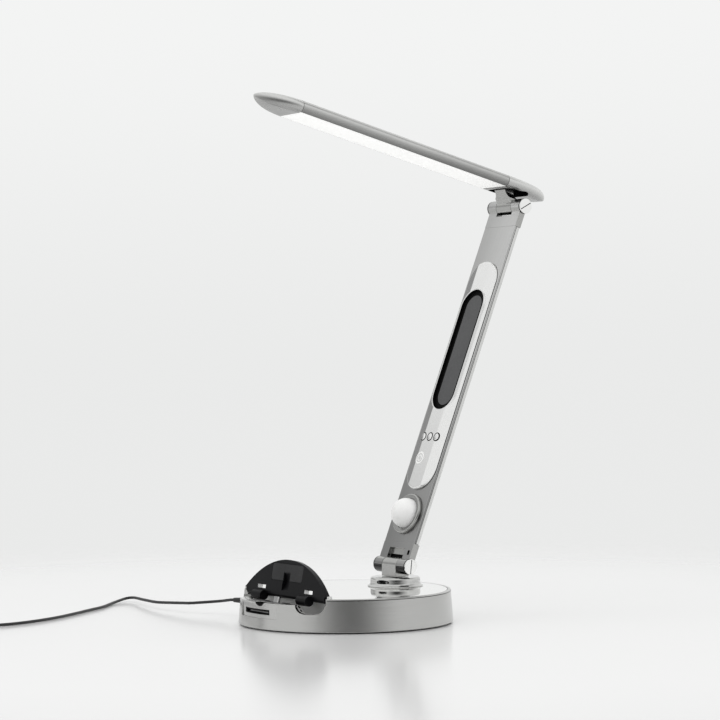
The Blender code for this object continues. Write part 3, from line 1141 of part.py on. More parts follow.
def make_head(top):
    """The lamp head in its own frame: origin on the upper hinge, -Y towards the head's tip."""
    frame = frame_at("head_frame", (0, 0, 0), ARM_LEAN - HEAD_TILT, top)
    middle = HEAD_HINGE_DROP
    front_joint = FRONT_CAP_LENGTH - head_hinge_t
    rear_joint = rear_cap_start - head_hinge_t
    body_front = front_joint + GAP
    body_length = rear_joint - body_front
    body_middle = body_front + body_length / 2
    housing = place_mesh("head_housing", sheet_mesh(
        [head_section()], body_length, "Y", (0, body_middle, middle)), "satin_silver", frame)
    channel_half = head_half - HEAD_LIP
    channel_top = head_bullnose - HEAD_WALL
    channel_height = channel_top + head_bullnose + OVERRUN
    channel = place_mesh("cut_channel", box_mesh(
        (2 * channel_half, 2 * body_length, channel_height),
        (0, body_middle, middle + channel_top - channel_height / 2)), parent=frame)
    cut(housing, channel)

    def layer(name, half, low, thickness, finish_name, margin):
        place_mesh(name, box_mesh(
            (2 * half, body_length - 2 * margin, thickness), (0, body_middle, middle + low + thickness / 2)),
            finish_name, frame)

    diffuser_low = -head_bullnose + DIFFUSER_INSET
    board_low = channel_top - LED_BOARD_THICKNESS - GAP
    layer("head_diffuser", channel_half - GAP, diffuser_low, DIFFUSER_THICKNESS, "milk_white", GAP)
    layer("led_board", channel_half - LED_BOARD_MARGIN, board_low, LED_BOARD_THICKNESS, "board_green", LED_BOARD_MARGIN)

    front_cap = cap_mesh(front_joint, -head_hinge_t, 1.6, 0.9, FRONT_NOSE_LENGTH)
    front_cap.transform(Matrix.Translation((0, 0, middle)))
    place_mesh("head_front_cap", front_cap, "satin_silver", frame)
    rear_start = rear_joint + GAP
    rear_cap = cap_mesh(rear_start, HEAD_LENGTH - head_hinge_t, 2.2, 0.75, REAR_NOSE_LENGTH)
    rear_cap.transform(Matrix.Translation((0, 0, middle)))
    cap = place_mesh("head_rear_cap", rear_cap, "satin_silver", frame)
    pocket_length = pocket_end - pocket_start
    pocket_y = (pocket_start + pocket_end) / 2 - head_hinge_t
    pocket_low = middle - head_bullnose
    pocket_height = POCKET_DEPTH + OVERRUN
    pocket_outline = rounded_box(2 * POCKET_HALF, pocket_length, POCKET_HALF * 0.35, 4, (0, pocket_y))
    pocket = place_mesh("cut_pocket_head", sheet_mesh(
        [pocket_outline], pocket_height, "Z", (0, 0, pocket_low + POCKET_DEPTH - pocket_height / 2)), parent=frame)
    cut(cap, pocket)

    plate_high = pocket_low + POCKET_DEPTH - GAP
    plate_low = plate_high - NECK_TOP_THICKNESS
    mouth = middle - head_bullnose
    lean = math.degrees(math.atan2(NECK_FORWARD, mouth))
    side_turn = math.degrees(math.asin(NECK_THICKNESS / 2 / KNUCKLE_RADIUS))
    half_along = NECK_THICKNESS / 2 / math.cos(math.radians(lean))
    inner = plate_low + NECK_TOP_THICKNESS / 2
    neck_outline = arc((0, 0), KNUCKLE_RADIUS, 90 + lean + side_turn, 450 + lean - side_turn, 24)
    neck_outline += [(half_along - NECK_FORWARD, mouth), (half_along - NECK_FORWARD, inner)]
    neck_outline += [(-half_along - NECK_FORWARD, inner), (-half_along - NECK_FORWARD, mouth)]
    bore = arc((0, 0), PIN_RADIUS + GAP, 0, 345, 23)
    neck = place_mesh("head_neck", sheet_mesh([neck_outline, bore], KNUCKLE_WIDTH, "X"), "satin_silver", frame)
    for side in (-1, 1):
        centre = (side * (NECK_HALF + NECK_FLARE), KNUCKLE_RADIUS + NECK_FLARE * 0.8)
        flare_outline = arc(centre, NECK_FLARE, 180, 360, 12)
        flare_outline += [(centre[0] + NECK_FLARE, pocket_low + POCKET_DEPTH), (centre[0] - NECK_FLARE, pocket_low + POCKET_DEPTH)]
        flare = place_mesh("cut_neck", sheet_mesh([flare_outline], 8 * NECK_THICKNESS, "Y"), parent=frame)
        cut(neck, flare)
    foot_outline = rounded_box(2 * (POCKET_HALF - RUN), NECK_TOP_LENGTH, POCKET_HALF * 0.3, 4, (0, pocket_y))
    foot = place_mesh("join_neck_foot", sheet_mesh(
        [foot_outline], NECK_TOP_THICKNESS, "Z", (0, 0, plate_low + NECK_TOP_THICKNESS / 2)), parent=frame)
    cut(neck, foot, "UNION")


def smooth_path(points, spacing):
    """Evenly spaced points on a smooth curve through the route's own points."""
    knots = [Vector(p) for p in points]
    knots = [2 * knots[0] - knots[1]] + knots + [2 * knots[-1] - knots[-2]]
    dense = []
    for before, start, end, after in zip(knots, knots[1:], knots[2:], knots[3:]):
        for i in range(24):
            t = i / 24
            dense.append(0.5 * (2 * start + (end - before) * t + (2 * before - 5 * start + 4 * end - after) * t ** 2
                                + (3 * start - before - 3 * end + after) * t ** 3))
    dense.append(knots[-2])
    total = sum((b - a).length for a, b in zip(dense, dense[1:]))
    count = round(total / spacing)
    step = total / count
    path, walked, target = [dense[0]], 0.0, step
    for a, b in zip(dense, dense[1:]):
        piece = (b - a).length
        while piece > 0 and walked + piece >= target - WELD and len(path) < count:
            path.append(a.lerp(b, min((target - walked) / piece, 1)))
            target += step
        walked += piece
    path.append(dense[-1])
    return path


def coil_point(turn):
    """A place on the put-away lead, which spirals in and out again, one layer on the other."""
    layer = min(int(turn / COIL_TURNS_PER_LAYER), COIL_LAYERS - 1)
    within = turn - layer * COIL_TURNS_PER_LAYER
    inward = COIL_TURNS_PER_LAYER - within
    climb = 0.0
    if layer + 1 < COIL_LAYERS and inward < 0.25:
        climb = 0.5 - 2 * inward
    if layer > 0 and within < 0.25:
        climb = 2 * within - 0.5
    radius = COIL_INNER_RADIUS + COIL_PITCH * (within if layer % 2 else inward)
    angle = math.radians(COIL_START_ANGLE) - math.tau * turn
    height = coil_low + COIL_PITCH * (layer + climb)
    return Vector((COIL_X + radius * math.cos(angle), COIL_Y + radius * math.sin(angle), height))


def least_gap(points, skip):
    """The least air between turns of the tube that are at least skip points apart."""
    least = math.inf
    for i, a in enumerate(points):
        for b in points[i + skip:]:
            least = min(least, math.dist(a, b))
    return least - CORD_DIAMETER


def make_lead_plug():
    """The plug at the lamp's end of the lead, standing straight out of the base's left side."""
    start = BASE_RADIUS_LOW + PLUG_STANDOFF
    boot_start = start + LEAD_PLUG_LENGTH
    end = boot_start + LEAD_BOOT_LENGTH
    profile = [
        (0, end), (LEAD_BOOT_TIP, end), (LEAD_BOOT_RADIUS, boot_start), (LEAD_PLUG_RADIUS - BASE_EDGE, boot_start),
        (LEAD_PLUG_RADIUS, boot_start - BASE_EDGE), (LEAD_PLUG_RADIUS, start), (0, start),
    ]
    turn = (0, 0, jack_angle)
    place_mesh("lead_plug", turned_mesh(profile, 24, axis="-Y"), "black_plastic", place=(0, 0, JACK_Z), turn=turn)
    pin_middle = start - GAP - LEAD_PLUG_PIN_LENGTH / 2
    place_mesh("lead_plug_pin", rod_mesh(
        LEAD_PLUG_PIN, LEAD_PLUG_PIN_LENGTH, "Y", 24, (0, -pin_middle, 0)), "chrome", place=(0, 0, JACK_Z), turn=turn)
    return end


def adapter_place(along, across, height):
    """A place on the wall adapter, measured from the middle of its underside along its length."""
    turn = math.radians(ADAPTER_TURN)
    x = ADAPTER_X + along * math.cos(turn) - across * math.sin(turn)
    y = ADAPTER_Y + along * math.sin(turn) + across * math.cos(turn)
    return Vector((x, y, height))


def make_adapter():
    """The wall adapter at the far end of the lead, with two flat pins and a short boot."""
    turn = (0, 0, ADAPTER_TURN)
    body = place_mesh("power_adapter", box_mesh((ADAPTER_LENGTH, ADAPTER_WIDTH, ADAPTER_HEIGHT)), "black_plastic",
                      place=adapter_place(0, 0, ADAPTER_HEIGHT / 2), turn=turn)
    soften(body, ADAPTER_EDGE, 3)
    for i, side in enumerate((-1, 1)):
        seat_inner = -ADAPTER_LENGTH / 2 + BLADE_SEAT
        middle = seat_inner - BLADE_LENGTH / 2
        across = side * BLADE_SPACING / 2
        seat = place_mesh("cut_blade_seat", box_mesh(
            (BLADE_LENGTH + 2 * GAP, BLADE_THICKNESS + 2 * GAP, BLADE_WIDTH + 2 * GAP)),
            place=adapter_place(middle, across, ADAPTER_HEIGHT / 2), turn=turn)
        cut(body, seat)
        place_mesh(f"adapter_pin_{i + 1}", box_mesh((BLADE_LENGTH, BLADE_THICKNESS, BLADE_WIDTH)), "brass",
                   place=adapter_place(middle, across, ADAPTER_HEIGHT / 2), turn=turn)
    boot_middle = ADAPTER_LENGTH / 2 + GAP + ADAPTER_BOOT_LENGTH / 2
    place_mesh("adapter_boot", rod_mesh(
        ADAPTER_BOOT_RADIUS, ADAPTER_BOOT_LENGTH, "X", 20, radius_far=LEAD_BOOT_TIP), "black_rubber",
        place=adapter_place(boot_middle, 0, ADAPTER_EXIT_Z), turn=turn)
    return ADAPTER_LENGTH / 2 + 2 * GAP + ADAPTER_BOOT_LENGTH


def make_lead(plug_end, boot_end):
    """The lead: its free run from the plug, then its put-away coil on to the wall adapter."""
    start = Vector(around(jack_angle, plug_end + GAP, JACK_Z))
    straight = Vector(around(jack_angle, plug_end + GAP + CORD_DIAMETER, JACK_Z))
    coil_start = coil_point(0.0)
    coil_heading = (coil_point(COIL_NUDGE_SHARE) - coil_start).normalized()
    coil_heading.z = 0
    lead_in = coil_start - coil_heading * CORD_DIAMETER
    run_end = lead_in - coil_heading * GAP
    before_end = run_end - coil_heading * CORD_DIAMETER
    route = [straight] + [Vector(point) for point in LEAD_ROUTE] + [before_end]
    run = [start] + smooth_path(route, CORD_SPACING) + [run_end]
    place_mesh("cord_run", tube_mesh(run, cord_radius, 2), "black_rubber")

    turns = COIL_TURNS_PER_LAYER * COIL_LAYERS
    steps = round(turns * COIL_POINTS)
    coil = [coil_point(turns * i / steps) for i in range(steps + 1)]
    tail_end = adapter_place(boot_end, 0, ADAPTER_EXIT_Z)
    before_tail = adapter_place(boot_end + CORD_DIAMETER, 0, ADAPTER_EXIT_Z)
    tail = smooth_path([coil[-2], coil[-1]] + [Vector(point) for point in TAIL_ROUTE] + [before_tail], CORD_SPACING / 3)
    tail = [point for point in tail[2:] if (point - coil[-1]).length > CORD_DIAMETER / 2]
    coil = [lead_in] + coil + tail + [tail_end]
    place_mesh("cord_coil", tube_mesh(coil, cord_radius, 1), "black_rubber")

    low = coil_low - cord_radius - GAP
    high = coil_low + COIL_PITCH * (COIL_LAYERS - 1) + cord_radius + GAP
    inner = math.sqrt((COIL_INNER_RADIUS - cord_radius) ** 2 - (TIE_WIDTH / 2) ** 2) - GAP
    outer = coil_outer + cord_radius + GAP
    centre = ((inner + outer) / 2, (low + high) / 2)
    hole = rounded_box(outer - inner, high - low, cord_radius / 2, 3, centre)
    band = rounded_box(outer - inner + 2 * TIE_THICKNESS, high - low + 2 * TIE_THICKNESS, cord_radius, 3, centre)
    place_mesh("coil_tie", sheet_mesh([band, hole], TIE_WIDTH, "X"), "black_rubber",
               place=(COIL_X, COIL_Y, 0), turn=(0, 0, TIE_ANGLE - 90))

    run_length = sum((b - a).length for a, b in zip(run, run[1:]))
    coil_length = sum((b - a).length for a, b in zip(coil, coil[1:]))
    print(f"lead: run {run_length:.4f} m, coil {coil_length:.4f} m, together {run_length + coil_length:.3f} m")
    print(f"coil: least gap to itself {least_gap(coil, COIL_POINTS // 2) * 1000:.2f} mm")
    print(f"lead: lowest centre {min(point.z for point in run + coil) * 1000:.2f} mm")


scoop_cutters, frame_cutter = make_base()
make_dock_tray(scoop_cutters)
make_front_socket(frame_cutter)
make_lead_socket()
make_flap()
make_barrel()
arm_top = make_arm(make_swivel())
make_head(arm_top)
make_lead(make_lead_plug(), make_adapter())
bpy.context.view_layer.update()
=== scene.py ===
import json
import math

import bpy
from mathutils import Matrix, Vector

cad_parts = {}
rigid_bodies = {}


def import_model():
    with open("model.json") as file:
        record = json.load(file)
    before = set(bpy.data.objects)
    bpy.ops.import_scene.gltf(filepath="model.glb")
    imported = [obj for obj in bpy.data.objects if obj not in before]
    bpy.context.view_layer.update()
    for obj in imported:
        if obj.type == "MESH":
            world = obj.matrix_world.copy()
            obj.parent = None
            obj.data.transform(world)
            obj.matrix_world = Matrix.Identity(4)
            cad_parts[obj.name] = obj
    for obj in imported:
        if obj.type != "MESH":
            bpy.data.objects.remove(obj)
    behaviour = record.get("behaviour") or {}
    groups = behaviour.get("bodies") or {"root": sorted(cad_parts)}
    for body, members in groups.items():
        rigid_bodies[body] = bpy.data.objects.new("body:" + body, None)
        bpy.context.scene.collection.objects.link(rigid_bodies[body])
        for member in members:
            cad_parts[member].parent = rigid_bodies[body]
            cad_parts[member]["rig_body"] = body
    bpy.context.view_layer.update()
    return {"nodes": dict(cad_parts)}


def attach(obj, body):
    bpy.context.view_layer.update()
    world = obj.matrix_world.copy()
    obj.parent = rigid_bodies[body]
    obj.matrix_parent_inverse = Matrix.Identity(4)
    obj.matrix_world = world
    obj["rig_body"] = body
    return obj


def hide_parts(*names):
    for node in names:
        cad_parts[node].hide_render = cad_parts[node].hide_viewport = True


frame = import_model()
nodes = frame["nodes"]
print("frame loaded:", len(nodes), "parts")


# camera, at the angle the lamp was seen from
viewpoint = {"place": (1.6746, -1.0934, 0.2175), "turn": 56.464, "pitch": 0.107, "roll": -0.505,
             "lens": 118.48, "sensor": 36, "reach": 60}

cameraData = bpy.data.cameras.new("deskCamera")
cameraData.lens = viewpoint["lens"]
cameraData.sensor_width = viewpoint["sensor"]
cameraData.clip_end = viewpoint["reach"]
camera = bpy.data.objects.new("deskCamera", cameraData)
bpy.context.scene.collection.objects.link(camera)
aim = Matrix.Rotation(math.radians(viewpoint["turn"]), 4, "Z")
aim = aim @ Matrix.Rotation(math.radians(90 + viewpoint["pitch"]), 4, "X")
aim = aim @ Matrix.Rotation(math.radians(viewpoint["roll"]), 4, "Z")
camera.matrix_world = Matrix.Translation(viewpoint["place"]) @ aim
bpy.context.scene.camera = camera
print("camera set")


# small helpers, and how closely the height, place and direction of a face are matched when faces are picked
level = 0.00001
slack = 0.0001
facing = 0.9
flat = 0.99
weld = 0.000001


def clearSelection():
    if bpy.context.object and bpy.context.object.mode != "OBJECT":
        bpy.ops.object.mode_set(mode="OBJECT")
    bpy.ops.object.select_all(action="DESELECT")


def makeActive(piece):
    clearSelection()
    piece.select_set(True)
    bpy.context.view_layer.objects.active = piece


def startPicking(kind):
    bpy.ops.object.mode_set(mode="EDIT")
    bpy.ops.mesh.select_mode(type=kind)
    bpy.ops.mesh.select_all(action="DESELECT")
    bpy.ops.object.mode_set(mode="OBJECT")


def selectFaces(piece, test):
    startPicking("FACE")
    for face in piece.data.polygons:
        face.select = test(face)
    bpy.ops.object.mode_set(mode="EDIT")


def pickPoints(piece, indexes):
    startPicking("VERT")
    for index in indexes:
        piece.data.vertices[index].select = True
    bpy.ops.object.mode_set(mode="EDIT")


def keepPoints(piece, test):
    bpy.ops.object.mode_set(mode="OBJECT")
    pickPoints(piece, [point.index for point in piece.data.vertices if point.select and test(point.co)])


def applyPlace(piece, place):
    makeActive(piece)
    piece.matrix_world = place @ piece.matrix_world
    bpy.ops.object.transform_apply(location=True, rotation=True, scale=True)


def bevelEdges(piece, width, segments=2, angle=32, harden=False):
    makeActive(piece)
    softening = piece.modifiers.new("softening", "BEVEL")
    softening.width = width
    softening.segments = segments
    softening.limit_method = "ANGLE"
    softening.angle_limit = math.radians(angle)
    softening.harden_normals = harden
    bpy.ops.object.modifier_apply(modifier="softening")


def smoothShade(piece, angle=34):
    makeActive(piece)
    bpy.ops.object.shade_smooth_by_angle(angle=math.radians(angle))
    weighting = piece.modifiers.new("weighting", "WEIGHTED_NORMAL")
    weighting.keep_sharp = True
    bpy.ops.object.modifier_apply(modifier="weighting")


def paint(piece, finish):
    piece.data.materials.clear()
    piece.data.materials.append(finish)


def startRound(name, radius, centre, steps):
    clearSelection()
    bpy.ops.mesh.primitive_circle_add(vertices=steps, radius=radius, fill_type="NGON", location=centre,
                                      rotation=(0, 0, math.pi / steps))
    piece = bpy.context.object
    piece.name = name
    bpy.ops.object.transform_apply(location=True, rotation=True, scale=True)
    bpy.ops.object.mode_set(mode="EDIT")
    bpy.ops.mesh.select_mode(type="FACE")
    bpy.ops.mesh.select_all(action="SELECT")
    return piece


def drawOut(rise):
    bpy.ops.mesh.extrude_region_move(TRANSFORM_OT_translate={"value": (0, 0, rise)})


def closeUp(piece, place=None):
    bpy.ops.mesh.select_all(action="SELECT")
    bpy.ops.mesh.remove_doubles(threshold=weld)
    bpy.ops.mesh.normals_make_consistent(inside=False)
    bpy.ops.object.mode_set(mode="OBJECT")
    if place:
        applyPlace(piece, place)


# a disc is drawn out and scaled again and again, as on a lathe
def turnPiece(name, rings, steps, place=None):
    radius, height = rings[0]
    piece = startRound(name, radius, (0, 0, height), steps)
    for nextRadius, nextHeight in rings[1:]:
        drawOut(nextHeight - height)
        if nextRadius:
            growth = nextRadius / radius
            bpy.ops.transform.resize(value=(growth, growth, 1), center_override=(0, 0, nextHeight))
        else:
            bpy.ops.mesh.merge(type="CENTER")
        radius, height = nextRadius, nextHeight
    closeUp(piece, place)
    return piece


# a disc whose far half is pulled away, then drawn out
def capsulePiece(name, radius, low, high, bottom, top, steps, across=0):
    piece = startRound(name, radius, (across, low + radius, bottom), steps)
    keepPoints(piece, lambda spot: spot.y > low + radius)
    bpy.ops.transform.translate(value=(0, high - low - 2 * radius, 0))
    bpy.ops.mesh.select_mode(type="FACE")
    bpy.ops.mesh.select_all(action="SELECT")
    drawOut(top - bottom)
    return piece


# a disc with its middle taken out, and with a gap where the test says so
def flatRing(name, radius, width, centre, bottom, top, steps, gap=None):
    piece = startRound(name, radius, (*centre, bottom), steps)
    bpy.ops.mesh.inset(thickness=width, depth=0)
    bpy.ops.mesh.delete(type="FACE")
    if gap:
        selectFaces(piece, lambda face: gap(face.center))
        bpy.ops.mesh.delete(type="FACE")
    bpy.ops.mesh.select_all(action="SELECT")
    drawOut(top - bottom)
    closeUp(piece)
    return piece


# a box between two corners, with rounded edges
def boxPiece(name, low, high, rounding, segments=2, place=Matrix()):
    clearSelection()
    bpy.ops.mesh.primitive_cube_add(size=1, location=[(a + b) / 2 for a, b in zip(low, high)])
    piece = bpy.context.object
    piece.name = name
    piece.scale = [b - a for a, b in zip(low, high)]
    applyPlace(piece, place)
    bevelEdges(piece, rounding, segments)
    return piece


# finishes: fine grain and broad smudges, of which the middle band is used; depths are those of the bumps, in metres
noiseBand = (0.3, 0.7)
metalDepth = 0.00002
plasticDepth = 0.00004


def startFinish(name, colour, metallic, roughness):
    finish = bpy.data.materials.new(name)
    finish.use_nodes = True
    tree = finish.node_tree
    shader = tree.nodes["Principled BSDF"]
    shader.inputs["Base Color"].default_value = (*colour, 1)
    shader.inputs["Metallic"].default_value = metallic
    shader.inputs["Roughness"].default_value = roughness
    return finish, tree, shader


def addNoise(tree, scale, detail, stretch=(1, 1, 1)):
    coords = tree.nodes.new("ShaderNodeTexCoord")
    mapping = tree.nodes.new("ShaderNodeMapping")
    mapping.inputs["Scale"].default_value = stretch
    noise = tree.nodes.new("ShaderNodeTexNoise")
    noise.inputs["Scale"].default_value = scale
    noise.inputs["Detail"].default_value = detail
    tree.links.new(coords.outputs["Object"], mapping.inputs["Vector"])
    tree.links.new(mapping.outputs["Vector"], noise.inputs["Vector"])
    return noise.outputs["Fac"]


def addRange(tree, source, start, end, low=0, high=1, curve="SMOOTHSTEP"):
    ranger = tree.nodes.new("ShaderNodeMapRange")
    ranger.interpolation_type = curve
    for socket, value in zip(("From Min", "From Max", "To Min", "To Max"), (start, end, low, high)):
        ranger.inputs[socket].default_value = value
    tree.links.new(source, ranger.inputs["Value"])
    return ranger.outputs["Result"]


def mixShaders(tree, share, first, second):
    mix = tree.nodes.new("ShaderNodeMixShader")
    for socket, source in zip(mix.inputs, (share, first, second)):
        tree.links.new(source, socket)
    return mix.outputs["Shader"]


def tintBetween(tree, shader, source, darker, lighter):
    ramp = tree.nodes.new("ShaderNodeValToRGB")
    for stop, position, colour in zip(ramp.color_ramp.elements, noiseBand, (darker, lighter)):
        stop.position = position
        stop.color = (*colour, 1)
    tree.links.new(source, ramp.inputs["Fac"])
    tree.links.new(ramp.outputs["Color"], shader.inputs["Base Color"])


# painted shade: scales the colour between two places along an axis, which is turned about X to follow a tilted piece;
# it darkens parts of a surface to stand in for darker reflections
def paintShadeAlong(tree, shader, ranges, turn):
    coords = tree.nodes.new("ShaderNodeTexCoord")
    mapping = tree.nodes.new("ShaderNodeMapping")
    mapping.inputs["Rotation"].default_value = (math.radians(turn), 0, 0)
    split = tree.nodes.new("ShaderNodeSeparateXYZ")
    tree.links.new(coords.outputs["Object"], mapping.inputs["Vector"])
    tree.links.new(mapping.outputs["Vector"], split.inputs[0])
    colour = shader.inputs["Base Color"].links[0].from_socket
    for axis, limits in ranges.items():
        scaled = tree.nodes.new("ShaderNodeVectorMath")
        scaled.operation = "SCALE"
        tree.links.new(colour, scaled.inputs[0])
        tree.links.new(addRange(tree, split.outputs[axis], *limits), scaled.inputs["Scale"])
        colour = scaled.outputs["Vector"]
    tree.links.new(colour, shader.inputs["Base Color"])


def addBump(tree, shader, source, strength, distance):
    bump = tree.nodes.new("ShaderNodeBump")
    bump.inputs["Strength"].default_value = strength
    bump.inputs["Distance"].default_value = distance
    tree.links.new(source, bump.inputs["Height"])
    tree.links.new(bump.outputs["Normal"], shader.inputs["Normal"])


def metalFinish(name, settings):
    finish, tree, shader = startFinish(name, settings["light"], settings.get("metallic", 1), settings["roughness"][0])
    grain = addNoise(tree, settings["grain"], 3, settings.get("stretch", (1, 1, 1)))
    smudge = addNoise(tree, settings["smudge"], 2)
    tintBetween(tree, shader, grain, settings["dark"], settings["light"])
    tree.links.new(addRange(tree, smudge, *noiseBand, *settings["roughness"], "LINEAR"), shader.inputs["Roughness"])
    addBump(tree, shader, grain, settings["relief"], metalDepth)
    # painted shade, along the axes given in shade
    if "shade" in settings:
        paintShadeAlong(tree, shader, settings["shade"], settings.get("shadeTurn", 0))
    return finish


def plasticFinish(name, settings):
    finish, tree, shader = startFinish(name, settings["light"], 0, settings["roughness"][0])
    speckle = addNoise(tree, settings["grain"], 2)
    smudge = addNoise(tree, settings["smudge"], 2)
    tintBetween(tree, shader, smudge, settings["dark"], settings["light"])
    tree.links.new(addRange(tree, speckle, *noiseBand, *settings["roughness"], "LINEAR"), shader.inputs["Roughness"])
    addBump(tree, shader, speckle, settings["relief"], plasticDepth)
    shader.inputs["Coat Weight"].default_value = settings.get("coat", 0)
    shader.inputs["Emission Color"].default_value = (1, 1, 1, 1)
    shader.inputs["Emission Strength"].default_value = settings.get("glow", 0)
    shader.inputs["Specular IOR Level"].default_value = settings.get("specular", 0.5)
    return finish


# stretch draws a metal's grain out into brushed lines; shade is a painted shade that darkens the colour to stand in for
# darker reflections, given as (start, end, share at the start, share at the end) along each axis
metalSettings = {
    "turnedSilver": {"light": (0.53, 0.53, 0.52), "dark": (0.50, 0.50, 0.49), "roughness": (0.20, 0.26),
                     "grain": 1, "stretch": (24, 24, 1500), "smudge": 20, "relief": 0.02},
    "mirrorPlate": {"light": (0.95, 0.95, 0.94), "dark": (0.92, 0.92, 0.91), "roughness": (0.03, 0.07),
                    "grain": 300, "smudge": 18, "relief": 0.01},
    "chrome": {"light": (0.72, 0.72, 0.71), "dark": (0.67, 0.67, 0.66), "roughness": (0.06, 0.12),
               "grain": 500, "smudge": 60, "relief": 0.02},
    "collarChrome": {"light": (0.60, 0.60, 0.59), "dark": (0.54, 0.54, 0.53), "roughness": (0.08, 0.13),
                     "grain": 500, "smudge": 60, "relief": 0.02},
    "satinChrome": {"light": (0.46, 0.46, 0.45), "dark": (0.41, 0.41, 0.40), "roughness": (0.18, 0.26),
                    "grain": 900, "smudge": 90, "relief": 0.03},
    # near-black chrome used as painted shade: the hinge caps' rims and slots, the fork's underside and the line under
    # the base's rim
    "paintedShadeChrome": {"light": (0.06, 0.06, 0.06), "dark": (0.04, 0.04, 0.04), "roughness": (0.16, 0.24),
                     "grain": 900, "smudge": 90, "relief": 0.03},
    # the arm's face: painted shade, darker towards its left edge and towards its foot
    "brushedArm": {"light": (0.62, 0.62, 0.615), "dark": (0.575, 0.575, 0.57), "roughness": (0.26, 0.34),
                   "grain": 1, "stretch": (2600, 40, 60), "smudge": 22, "relief": 0.06,
                   "shade": {"X": (-0.0225, 0.0150, 0.80, 1.0), "Z": (0.07, 0.30, 0.60, 1.0)}},
    "armEdge": {"light": (0.74, 0.74, 0.73), "dark": (0.68, 0.68, 0.67), "roughness": (0.20, 0.28),
                "grain": 1, "stretch": (900, 60, 60), "smudge": 30, "relief": 0.05},
    # the pod: painted shade, its sloped left side darker
    "podSilver": {"light": (0.88, 0.88, 0.875), "dark": (0.84, 0.84, 0.835), "roughness": (0.15, 0.21),
                  "metallic": 0.92, "grain": 1200, "smudge": 26, "relief": 0.05,
                  "shade": {"X": (-0.0098, -0.0086, 0.50, 1.0)}},
    # the head's rail: painted shade, darker towards its underside and a little darker along its length
    "headSilver": {"light": (0.70, 0.70, 0.69), "dark": (0.64, 0.64, 0.63), "roughness": (0.26, 0.34),
                   "grain": 1, "stretch": (1500, 30, 1500), "smudge": 20, "relief": 0.05, "shadeTurn": 14.3,
                   "shade": {"Y": (-0.052, 0.031, 1.0, 0.86), "Z": (0.4010, 0.4085, 0.37, 1.0)}},
    # the head's end caps: painted shade, darker towards their undersides
    "headEnd": {"light": (0.73, 0.73, 0.72), "dark": (0.68, 0.68, 0.67), "roughness": (0.24, 0.32),
                "grain": 900, "smudge": 40, "relief": 0.02,
                "shadeTurn": 14.3, "shade": {"Z": (0.4000, 0.4080, 0.52, 1.0)}},
    "capSilver": {"light": (0.72, 0.72, 0.71), "dark": (0.67, 0.67, 0.66), "roughness": (0.24, 0.32),
                  "grain": 900, "smudge": 40, "relief": 0.02},
    "traySilver": {"light": (0.80, 0.80, 0.79), "dark": (0.74, 0.74, 0.73), "roughness": (0.32, 0.42),
                   "metallic": 0.2, "grain": 900, "smudge": 40, "relief": 0.03},
    # a darker grey for the night light's dish: painted shade
    "dishShadeGrey": {"light": (0.34, 0.34, 0.335), "dark": (0.28, 0.28, 0.275), "roughness": (0.22, 0.30),
                 "grain": 900, "smudge": 60, "relief": 0.03},
    "steelShell": {"light": (0.58, 0.58, 0.58), "dark": (0.50, 0.50, 0.50), "roughness": (0.18, 0.28),
                   "grain": 700, "smudge": 80, "relief": 0.05},
    "darkIron": {"light": (0.20, 0.20, 0.20), "dark": (0.15, 0.15, 0.15), "roughness": (0.40, 0.55),
                 "grain": 600, "smudge": 40, "relief": 0.20},
    "brass": {"light": (0.80, 0.62, 0.32), "dark": (0.70, 0.53, 0.26), "roughness": (0.22, 0.34),
              "grain": 600, "smudge": 90, "relief": 0.05},
}
plasticSettings = {
    "flapBlack": {"light": (0.007, 0.007, 0.008), "dark": (0.005, 0.005, 0.006), "roughness": (0.34, 0.44),
                  "grain": 1800, "smudge": 30, "relief": 0.12, "specular": 0.10},
    # near-black used as painted shade in the port, slots, pockets, grooves and joints, and for the black band round the
    # display glass
    "cavityBlack": {"light": (0.004, 0.004, 0.004), "dark": (0.003, 0.003, 0.003), "roughness": (0.55, 0.70),
                    "grain": 900, "smudge": 60, "relief": 0.10, "specular": 0.06},
    "plugBlack": {"light": (0.020, 0.020, 0.021), "dark": (0.014, 0.014, 0.015), "roughness": (0.36, 0.50),
                  "grain": 1400, "smudge": 60, "relief": 0.16},
    "tongueGrey": {"light": (0.16, 0.16, 0.16), "dark": (0.12, 0.12, 0.12), "roughness": (0.40, 0.50),
                   "grain": 900, "smudge": 90, "relief": 0.08},
    "softRubber": {"light": (0.024, 0.024, 0.025), "dark": (0.016, 0.016, 0.017), "roughness": (0.60, 0.78),
                   "grain": 1100, "smudge": 45, "relief": 0.30},
    "cordBlack": {"light": (0.018, 0.018, 0.019), "dark": (0.012, 0.012, 0.013), "roughness": (0.42, 0.56),
                  "grain": 1600, "smudge": 70, "relief": 0.15},
    "screenBlack": {"light": (0.012, 0.012, 0.013), "dark": (0.010, 0.010, 0.011), "roughness": (0.06, 0.10),
                    "grain": 300, "smudge": 30, "relief": 0.01, "coat": 0.4},
    "screenGrey": {"light": (0.080, 0.081, 0.083), "dark": (0.070, 0.071, 0.073), "roughness": (0.14, 0.20),
                   "grain": 400, "smudge": 26, "relief": 0.01, "specular": 0.3},
    "milkWhite": {"light": (0.93, 0.93, 0.92), "dark": (0.90, 0.90, 0.89), "roughness": (0.20, 0.30),
                  "grain": 900, "smudge": 50, "relief": 0.02, "coat": 0.2, "glow": 0.07},
    # white print on the pod, with a faint painted glow; also painted glints on the flap's notches
    "printAndGlintWhite": {"light": (0.93, 0.93, 0.92), "dark": (0.90, 0.90, 0.89), "roughness": (0.35, 0.45),
                  "grain": 900, "smudge": 90, "relief": 0.04, "glow": 0.14},
    "boardGreen": {"light": (0.03, 0.16, 0.07), "dark": (0.02, 0.12, 0.05), "roughness": (0.30, 0.45),
                   "grain": 500, "smudge": 120, "relief": 0.10},
}
finishes = {}
